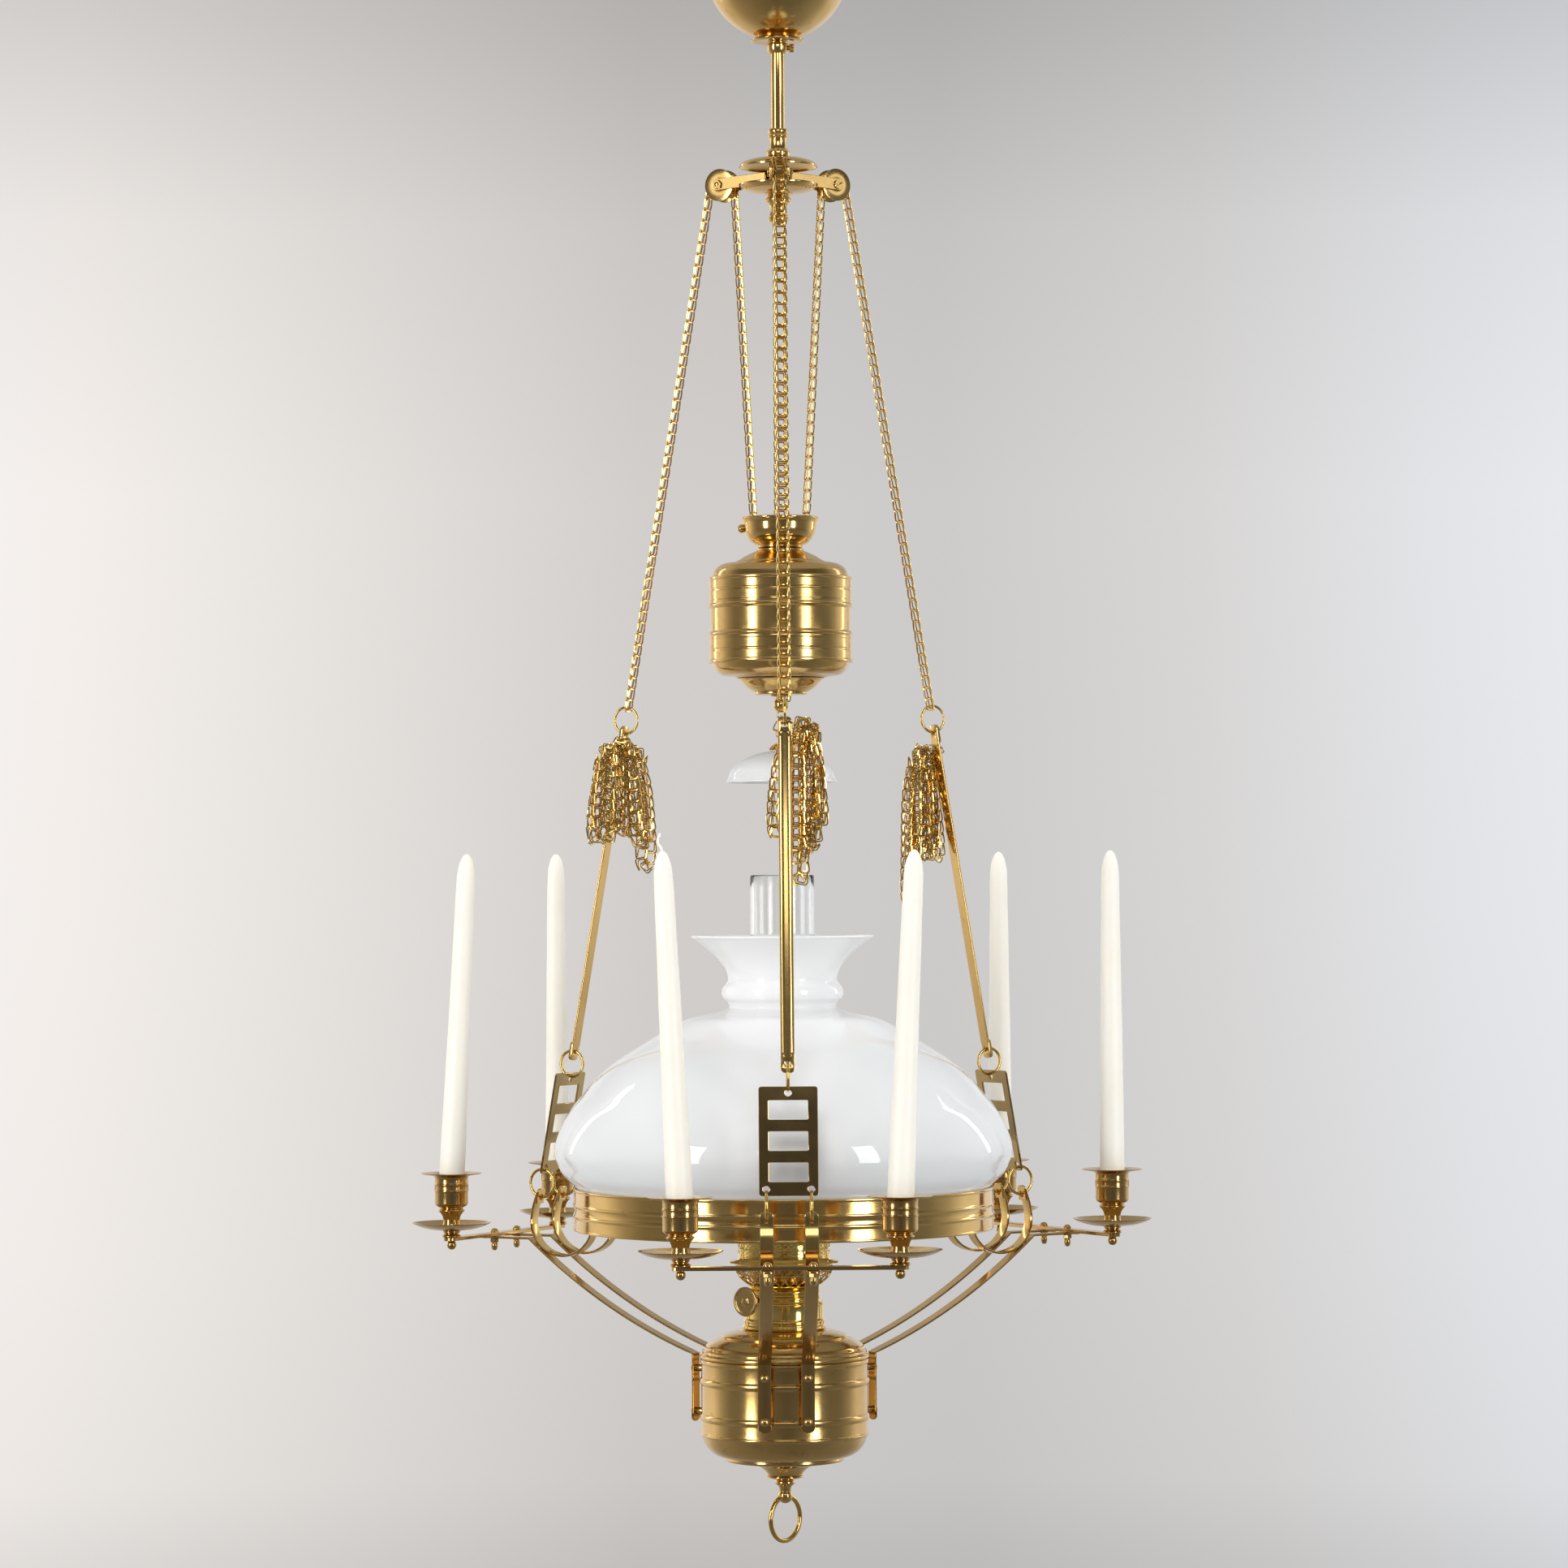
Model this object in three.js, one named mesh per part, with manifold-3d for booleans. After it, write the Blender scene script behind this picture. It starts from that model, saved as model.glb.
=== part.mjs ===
// A hanging kerosene lamp: a ceiling pulley hub with three ladder chains, a counterweight with
// a smoke bell, and a three-armed brass lamp with an opal shade and six candles.
// Millimetres, +Z up. The origin is on the lamp's axis, in the plane of the ceiling.
import * as THREE from 'three';
import { mergeVertices } from 'three/addons/utils/BufferGeometryUtils.js';
import Module from 'manifold-3d';

// General clearances and sheet thicknesses
const GAP = 0.3;
const SOLDER = 0.2;
const RING_SOLDER = 0.5;
const SHEET = 1.2;
const STRAP_THICKNESS = 2.2;

// Ceiling rose and hanging stem
const CEILING_CUP_RADIUS = 61;
const CEILING_CUP_RIM = 14;
const WASHER_RADIUS = 23;
const WASHER_DEPTH = 2;
const STEM_RADIUS = 5.85;
const STEM_WALL = 1.45;
const STEM_TOP = -27.3;
const STEM_LENGTH = 123.7;
const SOCKET_RADIUS = 10.2;
const SOCKET_HEIGHT = 23.7;
const SOCKET_FOOT = 5.5;
const SOCKET_FLOOR = 9;
const SOCKET_STEP = 3;
const SOCKET_LIP = 1.6;
const SOCKET_LIP_HEIGHT = 4;
const SOCKET_SIDES = 12;
const EYE_RADIUS = 8;
const EYE_WIRE = 4.4;
const COLLAR_RADIUS = 9;
const COLLAR_HEIGHT = 9.2;
const COLLAR_SCREW_RADIUS = 1.3;
const COLLAR_SCREW_HEAD = 3.4;
const COLLAR_SCREW_HEAD_LENGTH = 5;

// Hub with three pulleys
const HUB_CAP_RADIUS = 33.6;
const HUB_CAP_HEIGHT = 8.9;
const HUB_OPENING = 14.2;
const HUB_DISH_HEIGHT = 8.7;
const SPINDLE_RADIUS = 4.1;
const SPINDLE_THREAD = 6;
const HUB_CORE_RADIUS = 8;
const FINIAL_LENGTH = 26;
const FINIAL_BEAD = 11;
const PULLEY_OFFSET = 54.6;
const PULLEY_DROP = 20.3;
const PULLEY_RADIUS = 13.8;
const PULLEY_GROOVE = 9.3;
const PULLEY_FLANGE = 0.8;
const AXLE_RADIUS = 2;
const FORK_CHEEK = 1.8;
const FORK_HEIGHT = 10;
const AXLE_NUT = 3.9;

// Ladder chain, taut line and the parts that hang in it
const CHAIN_WIDTH = 10.1;
const CHAIN_WIRE = 1.5;
const CHAIN_PITCH = 9.7;
const CHAIN_SEAT_RADIUS = 11.55;
const LINE_SLOPE = 10.75;
const LINE_TOP_RING = 466;
const TOP_RING_RADIUS = 12.5;
const TOP_RING_WIRE = 2.3;
const ROD_WIDTH = 11.3;
const ROD_THICKNESS = 4;
const ROD_LENGTH = 294;
const ROD_HOLE_RADIUS = 2.5;
const ROD_HOLE_INSET = 8.2;
const LOWER_RING_RADIUS = 12.5;
const LOWER_RING_WIRE = 2.6;
const LADDER_WIDTH = 47.7;
const LADDER_LENGTH = 88.3;
const LADDER_THICKNESS = 2;
const LADDER_HOLE_RADIUS = 2.8;
const LADDER_HOLE_INSET = 5.3;
const WINDOW_WIDTH = 31.9;
const WINDOW_HEIGHT = 15.8;
const WINDOW_BAR = 9.4;
const SMALL_RING_RADIUS = 13.25;
const SMALL_RING_WIRE = 2.6;
const BUNDLE_WIDTH = 4.5;
const BUNDLE_THICKNESS = 2.4;
const BUNDLE_SPACING = 13;

// Arms, hooks and candle bars
const STRAP_WIDTH = 11.2;
const STRAP_SPACING = 36.2;
const HOOK_REACH = 237;
const HOOK_TIP = 7.7;
const ARM_PAST_BAR = 12.1;
const ARM_BEND = 240;
const ARM_LEVEL = -1098.9;
const ARM_SAG = 8.5;
const ARM_FOOT = 76.6;
const ARM_FOOT_LEVEL = -1191.5;
const ARM_FOOT_END = -1249;
const ARM_SCREW_RADIUS = 3.5;
const ARM_SCREW_LEVELS = [-1203.5, -1240];
const BAR_RADIAL = 277.9;
const BAR_LENGTH = 188;
const BAR_WIDTH = 11;
const BAR_THICKNESS = 3;
const CANDLE_OFFSET = 86.9;
const BOLT_RADIUS = 3.4;
const BOLT_HEAD_HEIGHT = 3.6;
const BOLT_TAIL = 10.5;

// Candle sockets and candles
const CANDLE_RADIUS = 11.15;
const CANDLE_TOP_RADIUS = 7.85;
const CANDLE_LENGTH = 298;
const CANDLE_TIP = 9;
const CANDLE_PLAY = 1.4;
const CANDLE_LEAN_ANGLES = { front_a: -2.6, front_b: 2.6, left_a: 0, left_b: 2.9, right_a: 0, right_b: 0 };
const CUP_RADIUS = 14.25;
const CUP_HEIGHT = 27;
const CUP_BORE_DEPTH = 25;
const CUP_FLANGE = 26.3;
const PAN_RADIUS = 33.9;
const PAN_DEPTH = 6.5;
const SOCKET_STEM = 7.35;
const SOCKET_BEAD = 11.5;
const SOCKET_WASHER = 8.2;
const BALL_NUT_RADIUS = 4.15;

// Counterweight and smoke bell
const WEIGHT_TOP = -481.4;
const WEIGHT_CUP_RADIUS = 33.4;
const WEIGHT_CUP_HEIGHT = 26.6;
const WEIGHT_NECK = 18;
const WEIGHT_RADIUS = 60.9;
const WEIGHT_DOME_RADIUS = 37.5;
const WEIGHT_DOME_HEIGHT = 11.4;
const WEIGHT_SHOULDER_HEIGHT = 14;
const WEIGHT_BAND_HEIGHT = 70.7;
const WEIGHT_FOOT_HEIGHT = 13.6;
const WEIGHT_BASE_HEIGHT = 14;
const WEIGHT_BASE_RADIUS = 22;
const BALLAST_RADIUS = 55.5;
const BALLAST_HEIGHT = 68;
const WEIGHT_BALL = 6.6;
const CUP_KNOB_RADIUS = 3.5;
const BELL_RING_RADIUS = 6.5;
const BELL_RING_WIRE = 1.5;
const BELL_EYE_RADIUS = 3.2;
const BELL_EYE_SINK = 1.4;
const BELL_CAP_EYE_RADIUS = 4.2;
const BELL_RADIUS = 47.3;
const BELL_HEIGHT = 28;
const BELL_WALL = 2.4;
const BELL_CAP_RADIUS = 10;
const BELL_CAP_HEIGHT = 9.5;
const BELL_BOLT = 2.2;

// Opal shade and its ring
const SHADE_RING_RADIUS = 177.7;
const SHADE_RING_TOP = -1048.7;
const SHADE_RING_HEIGHT = 35.5;
const SHADE_LEDGE_DEPTH = 12;
const SHADE_LEDGE_WIDTH = 8;
const SHADE_SIDES = 21;
const SHADE_WALL = 2.4;
const SHADE_RADIUS = 193.9;
const SHADE_FITTER_INSET = 0.9;
const SHADE_LIP_INSET = 6.5;
const SHADE_LIP_RISE = 13;
const SHADE_WIDEST_RISE = 30;
const SHADE_SHOULDER_INSET = 2.9;
const SHADE_SHOULDER_RISE = 43.7;
const SHADE_SLOPE_INSET = 20.9;
const SHADE_SLOPE_RISE = 74.7;
const SHADE_CROWN_INSET = 46;
const SHADE_CROWN_RISE = 101.7;
const SHADE_TOP_INSET = 85;
const SHADE_TOP_RISE = 127;
const SHADE_THROAT = 83;
const SHADE_THROAT_DROP = 10.5;
const SHADE_NECK = 45;
const SHADE_BULGE = 51.7;
const SHADE_MOUTH = 77.3;
const SHADE_MOUTH_FLARE = 57;
const SHADE_HEIGHT = 222.6;
const SHADE_NECK_DROP = 37.5;
const SHADE_COLLAR_DROP = 60.5;
const SHADE_FLARE_DROP = 18;

// Font, holder, burner and chimney
const HOLDER_RADIUS = 70.5;
const HOLDER_TOP = -1193.3;
const HOLDER_HEIGHT = 60;
const HOLDER_BOWL_RADIUS = 50.5;
const HOLDER_BOWL_HEIGHT = 26.7;
const HOLDER_BEAD = 1.4;
const HOLDER_BEAD_HALF = 3;
const HOLDER_BEAD_DROPS = [49, 19];
const BASE_CONE_RADIUS = 27.6;
const BASE_NECK = 8;
const BASE_LENGTH = 36;
const PULL_RING_RADIUS = 20.95;
const PULL_RING_WIRE = 4.3;
const PULL_RING_TURN = 48;
const FONT_RIM_RADIUS = 71.8;
const FONT_DOME_HEIGHT = 18;
const FONT_STEP_RADIUS = 52;
const FONT_DEPTH = 62;
const BURNER_THREAD = 21.7;
const BURNER_THREAD_LENGTH = 16;
const BURNER_FOOT_RADIUS = 35.4;
const BURNER_BODY_RADIUS = 34;
const BURNER_RING_RADIUS = 31;
const BURNER_INSIDE = 26.6;
const BASKET_RADIUS = 41;
const BURNER_HEIGHT = 56;
const WICK_RADIUS = 11.2;
const WICK_WALL = 3;
const WICK_TUBE = 14;
const WICK_LENGTH = 150;
const WICK_TUBE_HEIGHT = 35;
const GALLERY_RADIUS = 39;
const GALLERY_HEIGHT = 19;
const GALLERY_FLANGE = 47.4;
const CHIMNEY_RADIUS = 27.3;
const CHIMNEY_BASE = 31.8;
const CHIMNEY_WAIST = 24.5;
const CHIMNEY_WALL = 1.8;
const CHIMNEY_LENGTH = 326;
const KNOB_RADIUS = 12.5;
const KNOB_THICKNESS = 2.6;
const KNOB_REACH = 55;
const KNOB_AZIMUTH = -128.3;
const KNOB_SHAFT = 1.7;

const wasm = await Module();
wasm.setup();

const lamp = new THREE.Group();

const brass = { color: 0xc8a24a, roughness: 0.28, metalness: 1 };
const darkBrass = { color: 0x9c7b3c, roughness: 0.4, metalness: 1 };
const castIron = { color: 0x4a4a4c, roughness: 0.8, metalness: 0.6 };
const opalGlass = { color: 0xf2f3f2, roughness: 0.12, metalness: 0 };
const clearGlass = { color: 0xe6eef0, roughness: 0.03, metalness: 0, transparent: true, opacity: 0.3 };
const wax = { color: 0xf3ece0, roughness: 0.55, metalness: 0 };
const cotton = { color: 0xe9e2d2, roughness: 0.95, metalness: 0 };

// Merges the shared vertices and drops the collapsed triangles that a revolve leaves on its axis
function closed(geometry) {
  const bare = geometry.clone();
  bare.deleteAttribute('normal');
  bare.deleteAttribute('uv');
  const merged = mergeVertices(bare, 1e-4);
  const index = merged.getIndex().array;
  const kept = [];
  for (let i = 0; i < index.length; i += 3) {
    const [a, b, c] = [index[i], index[i + 1], index[i + 2]];
    if (a !== b && b !== c && c !== a) kept.push(a, b, c);
  }
  merged.setIndex(kept);
  return merged;
}

function solidOf(geometry) {
  const shape = closed(geometry);
  const vertProperties = new Float32Array(shape.getAttribute('position').array);
  const triVerts = new Uint32Array(shape.getIndex().array);
  return new wasm.Manifold(new wasm.Mesh({ numProp: 3, vertProperties, triVerts }));
}

function geometryOf(solid) {
  const mesh = solid.getMesh();
  const geometry = new THREE.BufferGeometry();
  geometry.setAttribute('position', new THREE.BufferAttribute(mesh.vertProperties, 3));
  geometry.setIndex(new THREE.BufferAttribute(mesh.triVerts, 1));
  return geometry;
}

function joined(...geometries) {
  const solids = geometries.map(solidOf);
  return geometryOf(solids.reduce((whole, piece) => whole.add(piece)));
}

function cut(geometry, ...tools) {
  const solids = tools.map(solidOf);
  return geometryOf(solids.reduce((whole, tool) => whole.subtract(tool), solidOf(geometry)));
}

// Points of a round stretch of an outline, angles in degrees
function arc(radial, level, radius, from, to, steps, height = radius) {
  const points = [];
  for (let i = 0; i <= steps; i += 1) {
    const angle = THREE.MathUtils.degToRad(from + ((to - from) * i) / steps);
    points.push([radial + radius * Math.cos(angle), level + height * Math.sin(angle)]);
  }
  return points;
}

// Revolves an outline of [radius, height] points about Z; an outline off the axis closes on itself
function turned(outline, sides) {
  const points = outline.map(([radius, height]) => new THREE.Vector2(Math.max(radius, 0), height));
  const onAxis = points[0].x === 0 && points[points.length - 1].x === 0;
  if (THREE.ShapeUtils.area(points) < 0) points.reverse();
  if (!onAxis) points.push(points[0].clone());
  return new THREE.LatheGeometry(points, sides).rotateX(Math.PI / 2);
}

// Closes an outline that runs up the outside of a shell with its inside, one wall thickness in
function walled(outer, wall) {
  const points = outer.map(([radius, height]) => new THREE.Vector2(radius, height));
  const normals = points.slice(1).map((point, i) => {
    const along = point.clone().sub(points[i]).normalize();
    return new THREE.Vector2(-along.y, along.x);
  });
  const inside = points.map((point, i) => {
    const before = normals[Math.max(i - 1, 0)];
    const after = normals[Math.min(i, normals.length - 1)];
    const mitre = before.clone().add(after).normalize();
    const offset = point.clone().addScaledVector(mitre, wall / Math.max(mitre.dot(before), 0.5));
    return [offset.x, offset.y];
  });
  return [...outer, ...inside.reverse()];
}

// A rod of the given radius between two heights on the Z axis
function pin(radius, bottom, top, sides = 10) {
  return new THREE.CylinderGeometry(radius, radius, top - bottom, sides)
    .rotateX(Math.PI / 2)
    .translate(0, 0, (top + bottom) / 2);
}

function block(width, depth, height, x, y, z) {
  return new THREE.BoxGeometry(width, depth, height).translate(x, y, z);
}

// A wire ring with its hole along Y
function ring(outerRadius, wire, steps, sides = 4) {
  return new THREE.TorusGeometry(outerRadius - wire / 2, wire / 2, sides, steps).rotateX(Math.PI / 2);
}

// A flat outline in the Y-Z plane, thick along X about its middle
function plate(shape, thickness, curveSegments = 3) {
  return new THREE.ExtrudeGeometry(shape, { depth: thickness, bevelEnabled: false, curveSegments })
    .translate(0, 0, -thickness / 2)
    .rotateY(Math.PI / 2)
    .rotateX(Math.PI / 2);
}

function shapeOf(points) {
  return new THREE.Shape(points.map(([x, y]) => new THREE.Vector2(x, y)));
}

// A flat strap of constant width along Y, whose middle line runs through [x, z] points
function strap(line, width, thickness) {
  const middle = line.map(([x, z]) => new THREE.Vector2(x, z));
  const faces = [[], []];
  middle.forEach((point, i) => {
    const before = middle[Math.max(i - 1, 0)];
    const after = middle[Math.min(i + 1, middle.length - 1)];
    const first = point.clone().sub(before).normalize();
    const second = after.clone().sub(point).normalize();
    const along = first.add(second).normalize();
    const stretch = i > 0 && i < middle.length - 1 ? Math.max(along.dot(second), 0.7) : 1;
    const side = new THREE.Vector2(-along.y, along.x).multiplyScalar(thickness / 2 / stretch);
    faces[0].push(point.clone().add(side));
    faces[1].push(point.clone().sub(side));
  });
  const outline = new THREE.Shape([...faces[0], ...faces[1].reverse()]);
  return new THREE.ExtrudeGeometry(outline, { depth: width, bevelEnabled: false })
    .rotateX(Math.PI / 2)
    .translate(0, width / 2, 0);
}

function place(name, geometry, finish, parent = lamp) {
  const mesh = new THREE.Mesh(closed(geometry), new THREE.MeshStandardMaterial(finish));
  mesh.geometry.computeVertexNormals();
  mesh.name = name;
  parent.add(mesh);
  return mesh;
}

// The three legs: in each leg's group X runs outward, Y along the candle bar
const LEGS = [
  { side: 'front', azimuth: -90 },
  { side: 'left', azimuth: 150 },
  { side: 'right', azimuth: 30 },
];

function legGroup(azimuth) {
  const group = new THREE.Group();
  group.rotation.z = THREE.MathUtils.degToRad(azimuth);
  lamp.add(group);
  return group;
}

// Levels of the stem and hub, worked down from the ceiling
const stemBottom = STEM_TOP - STEM_LENGTH;
const socketBottom = stemBottom - SOCKET_HEIGHT;
const hubCapTop = socketBottom - GAP;
const hubCapRim = hubCapTop - HUB_CAP_HEIGHT;
const hubDishRim = hubCapRim - HUB_OPENING;
const hubDishBottom = hubDishRim - HUB_DISH_HEIGHT;
const hubCoreTop = hubCapTop - SHEET - 3 * GAP;
const hubCoreBottom = hubDishBottom + SHEET + 3 * GAP;
const finialTop = hubDishBottom - GAP;
const pulleyLevel = hubCapTop - PULLEY_DROP;
const stemBore = STEM_RADIUS - STEM_WALL;
const socketFloor = socketBottom + SOCKET_FLOOR;
const spindleHole = SPINDLE_RADIUS + GAP;

function ceilingParts() {
  const centre = -CEILING_CUP_RIM;
  const bore = STEM_RADIUS + GAP;
  const inner = CEILING_CUP_RADIUS - SHEET;
  const cupBottom = centre - CEILING_CUP_RADIUS - WASHER_DEPTH;
  const washerAngle = -THREE.MathUtils.radToDeg(Math.acos(WASHER_RADIUS / CEILING_CUP_RADIUS));
  const boreAngle = -THREE.MathUtils.radToDeg(Math.acos(bore / inner));
  place('ceiling_cup', turned([
    [bore, cupBottom],
    [WASHER_RADIUS, cupBottom],
    ...arc(0, centre, CEILING_CUP_RADIUS, washerAngle, 0, 4),
    [CEILING_CUP_RADIUS, 0],
    [inner, 0],
    ...arc(0, centre, inner, 0, boreAngle, 3),
  ], 17), brass);

  const collarTop = cupBottom - GAP;
  const collarMiddle = collarTop - COLLAR_HEIGHT / 2;
  const screwHole = pin(COLLAR_SCREW_RADIUS + GAP, bore - 2, COLLAR_RADIUS + 2)
    .rotateY(Math.PI / 2)
    .translate(0, 0, collarMiddle);
  place('cup_collar', cut(turned([
    [bore, collarTop - COLLAR_HEIGHT],
    [COLLAR_RADIUS - 1, collarTop - COLLAR_HEIGHT],
    [COLLAR_RADIUS, collarTop - COLLAR_HEIGHT + 1],
    [COLLAR_RADIUS, collarTop],
    [bore, collarTop],
  ], 10), screwHole), brass);

  const headStart = COLLAR_RADIUS + GAP;
  const screw = turned([
    [0, bore],
    [COLLAR_SCREW_RADIUS, bore],
    [COLLAR_SCREW_RADIUS, headStart],
    [COLLAR_SCREW_HEAD, headStart],
    [COLLAR_SCREW_HEAD, headStart + COLLAR_SCREW_HEAD_LENGTH],
    [0, headStart + COLLAR_SCREW_HEAD_LENGTH],
  ], 10).rotateY(Math.PI / 2).translate(0, 0, collarMiddle);
  place('collar_screw', screw, darkBrass);
}

function stemParts() {
  const shoulder = EYE_WIRE;
  const plugRadius = stemBore - GAP;
  const plugTop = STEM_TOP + GAP;
  const eyeCentre = plugTop + shoulder + EYE_RADIUS;
  const eye = ring(EYE_RADIUS + EYE_WIRE / 2, EYE_WIRE, 12, 5).translate(0, 0, eyeCentre);
  const plug = turned([
    [0, plugTop - 18],
    [plugRadius, plugTop - 18],
    [plugRadius, plugTop],
    [STEM_RADIUS, plugTop],
    [STEM_RADIUS, plugTop + shoulder],
    [0, plugTop + shoulder],
  ], 10);
  place('hanging_eye', joined(eye, plug), darkBrass);

  const tubeEnd = socketFloor + GAP;
  place('stem_tube', turned([
    [stemBore, tubeEnd],
    [STEM_RADIUS, tubeEnd],
    [STEM_RADIUS, STEM_TOP],
    [stemBore, STEM_TOP],
  ], SOCKET_SIDES), brass);
}

function hubParts() {
  // The spindle holds the hub together, and its upper end is the socket that takes the stem
  const waist = SOCKET_RADIUS - SOCKET_STEP;
  const lip = waist + SOCKET_LIP;
  const bore = STEM_RADIUS + GAP;
  place('hub_spindle', turned([
    [0, finialTop - SPINDLE_THREAD],
    [SPINDLE_RADIUS, finialTop - SPINDLE_THREAD],
    [SPINDLE_RADIUS, hubCoreBottom],
    [HUB_CORE_RADIUS, hubCoreBottom],
    [HUB_CORE_RADIUS, hubCoreTop],
    [SPINDLE_RADIUS, hubCoreTop],
    [SPINDLE_RADIUS, socketBottom],
    [SOCKET_RADIUS, socketBottom],
    [SOCKET_RADIUS, socketBottom + SOCKET_FOOT],
    [waist, socketFloor],
    [waist, stemBottom - 7],
    [lip, stemBottom - SOCKET_LIP_HEIGHT],
    [lip, stemBottom],
    [bore, stemBottom],
    [bore, socketFloor],
    [0, socketFloor],
  ], SOCKET_SIDES), brass);

  const capHeight = HUB_CAP_HEIGHT - SHEET;
  place('hub_cap', turned([
    [spindleHole, hubCapTop],
    [SOCKET_RADIUS, hubCapTop],
    ...arc(0, hubCapRim, HUB_CAP_RADIUS, 62, 0, 3, HUB_CAP_HEIGHT),
    ...arc(0, hubCapRim, HUB_CAP_RADIUS - SHEET, 0, 62, 2, capHeight),
    [spindleHole, hubCapTop - SHEET],
  ], 16), brass);

  const dishHeight = HUB_DISH_HEIGHT - SHEET;
  place('hub_dish', turned([
    [spindleHole, hubDishBottom],
    [FINIAL_BEAD, hubDishBottom],
    ...arc(0, hubDishRim, HUB_CAP_RADIUS, -62, 0, 3, HUB_DISH_HEIGHT),
    ...arc(0, hubDishRim, HUB_CAP_RADIUS - SHEET, 0, -62, 2, dishHeight),
    [spindleHole, hubDishBottom + SHEET],
  ], 16), brass);

  const boreBottom = finialTop - SPINDLE_THREAD - GAP;
  const finialBottom = finialTop - FINIAL_LENGTH;
  const bead = FINIAL_BEAD;
  place('hub_finial', turned([
    [0, boreBottom],
    [spindleHole, boreBottom],
    [spindleHole, finialTop],
    [bead - 1.5, finialTop],
    ...arc(bead - 3, finialTop - 4.5, 3, 60, -60, 2),
    [bead * 0.65, finialTop - 11],
    [bead * 0.65, finialTop - 15],
    ...arc(bead - 4.5, finialTop - 21, 2.4, 70, -50, 2),
    [bead * 0.3, finialBottom + 0.8],
    [0, finialBottom],
  ], 10), brass);
}

// Half the space between the cheeks of a fork
const pulleyHalf = CHAIN_WIDTH / 2 + GAP + PULLEY_FLANGE;
const cheekInside = pulleyHalf + GAP;
const cheekOutside = cheekInside + FORK_CHEEK;

function pulleyParts({ side, azimuth }) {
  const leg = legGroup(azimuth);
  const webInside = HUB_CORE_RADIUS + GAP;
  const webTop = hubDishRim + GAP + FORK_HEIGHT;
  const webBottom = hubDishRim + GAP;
  const nose = FORK_HEIGHT / 2;
  const outline = shapeOf([
    [webInside, webBottom],
    [HUB_CAP_RADIUS + GAP, webBottom],
    ...arc(PULLEY_OFFSET, pulleyLevel, nose, -90, 90, 4),
    [HUB_CAP_RADIUS + GAP, webTop],
    [webInside, webTop],
  ]);
  const cheek = (inside) => new THREE.ExtrudeGeometry(outline, { depth: FORK_CHEEK, bevelEnabled: false })
    .rotateX(Math.PI / 2)
    .translate(0, inside + FORK_CHEEK, 0);
  const web = block(3, 2 * cheekInside + 1, FORK_HEIGHT, webInside + 1.5, 0, (webTop + webBottom) / 2);
  const axleEnd = cheekOutside + 2.6;
  const axle = pin(AXLE_RADIUS, -axleEnd, axleEnd, 8);
  const nut = pin(AXLE_NUT, cheekOutside - 0.5, cheekOutside + 2.2, 6);
  const head = pin(AXLE_NUT, -cheekOutside - 1.8, -cheekOutside + 0.5, 8);
  const bolt = joined(axle, nut, head).rotateX(-Math.PI / 2).translate(PULLEY_OFFSET, 0, pulleyLevel);
  place(`pulley_fork_${side}`, joined(web, cheek(cheekInside), cheek(-cheekOutside), bolt), darkBrass, leg);

  const wheel = turned([
    [AXLE_RADIUS + GAP, -pulleyHalf],
    [PULLEY_RADIUS, -pulleyHalf],
    [PULLEY_RADIUS, -pulleyHalf + PULLEY_FLANGE],
    [PULLEY_GROOVE, -pulleyHalf + PULLEY_FLANGE],
    [PULLEY_GROOVE, pulleyHalf - PULLEY_FLANGE],
    [PULLEY_RADIUS, pulleyHalf - PULLEY_FLANGE],
    [PULLEY_RADIUS, pulleyHalf],
    [AXLE_RADIUS + GAP, pulleyHalf],
  ], 14).rotateX(Math.PI / 2).translate(PULLEY_OFFSET, 0, pulleyLevel);
  place(`pulley_${side}`, wheel, brass, leg);
}

// The taut line of a leg runs straight from the pulley down to the hooks
const slope = THREE.MathUtils.degToRad(LINE_SLOPE);
const lineTop = {
  x: PULLEY_OFFSET + CHAIN_SEAT_RADIUS * Math.cos(slope),
  z: pulleyLevel + CHAIN_SEAT_RADIUS * Math.sin(slope),
};

function onLine(distance) {
  return {
    x: lineTop.x + distance * Math.sin(slope),
    z: lineTop.z - distance * Math.cos(slope),
  };
}

// How far a wire's middle lies from the middle of the hole that it bears in
function seat(holeRadius, wire, clearance, thickness, steps) {
  return holeRadius - wire / 2 - clearance - (thickness / 2) * Math.tan(Math.PI / steps);
}

const RING_STEPS = 8;
const topRingMean = TOP_RING_RADIUS - TOP_RING_WIRE / 2;
const lowerRingMean = LOWER_RING_RADIUS - LOWER_RING_WIRE / 2;
const smallRingMean = SMALL_RING_RADIUS - SMALL_RING_WIRE / 2;
const chainEnd = LINE_TOP_RING - topRingMean + TOP_RING_WIRE / 2 + GAP + CHAIN_WIRE;
const rodTopHole = LINE_TOP_RING + topRingMean + ROD_HOLE_RADIUS - TOP_RING_WIRE / 2 + RING_SOLDER;
const rodTop = rodTopHole - ROD_HOLE_INSET;
const rodBottomHole = rodTop + ROD_LENGTH - ROD_HOLE_INSET;
const lowerRingCentre = rodBottomHole + lowerRingMean
  + seat(ROD_HOLE_RADIUS, LOWER_RING_WIRE, GAP, ROD_THICKNESS, RING_STEPS);
const ladderTopHole = lowerRingCentre + lowerRingMean + LADDER_HOLE_RADIUS - LOWER_RING_WIRE / 2 + RING_SOLDER;
const ladderTop = ladderTopHole - LADDER_HOLE_INSET;
const ladderBottomHole = ladderTop + LADDER_LENGTH - LADDER_HOLE_INSET;
const smallRingCentre = ladderBottomHole + LADDER_HOLE_RADIUS - SMALL_RING_WIRE / 2 + RING_SOLDER + smallRingMean;
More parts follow.
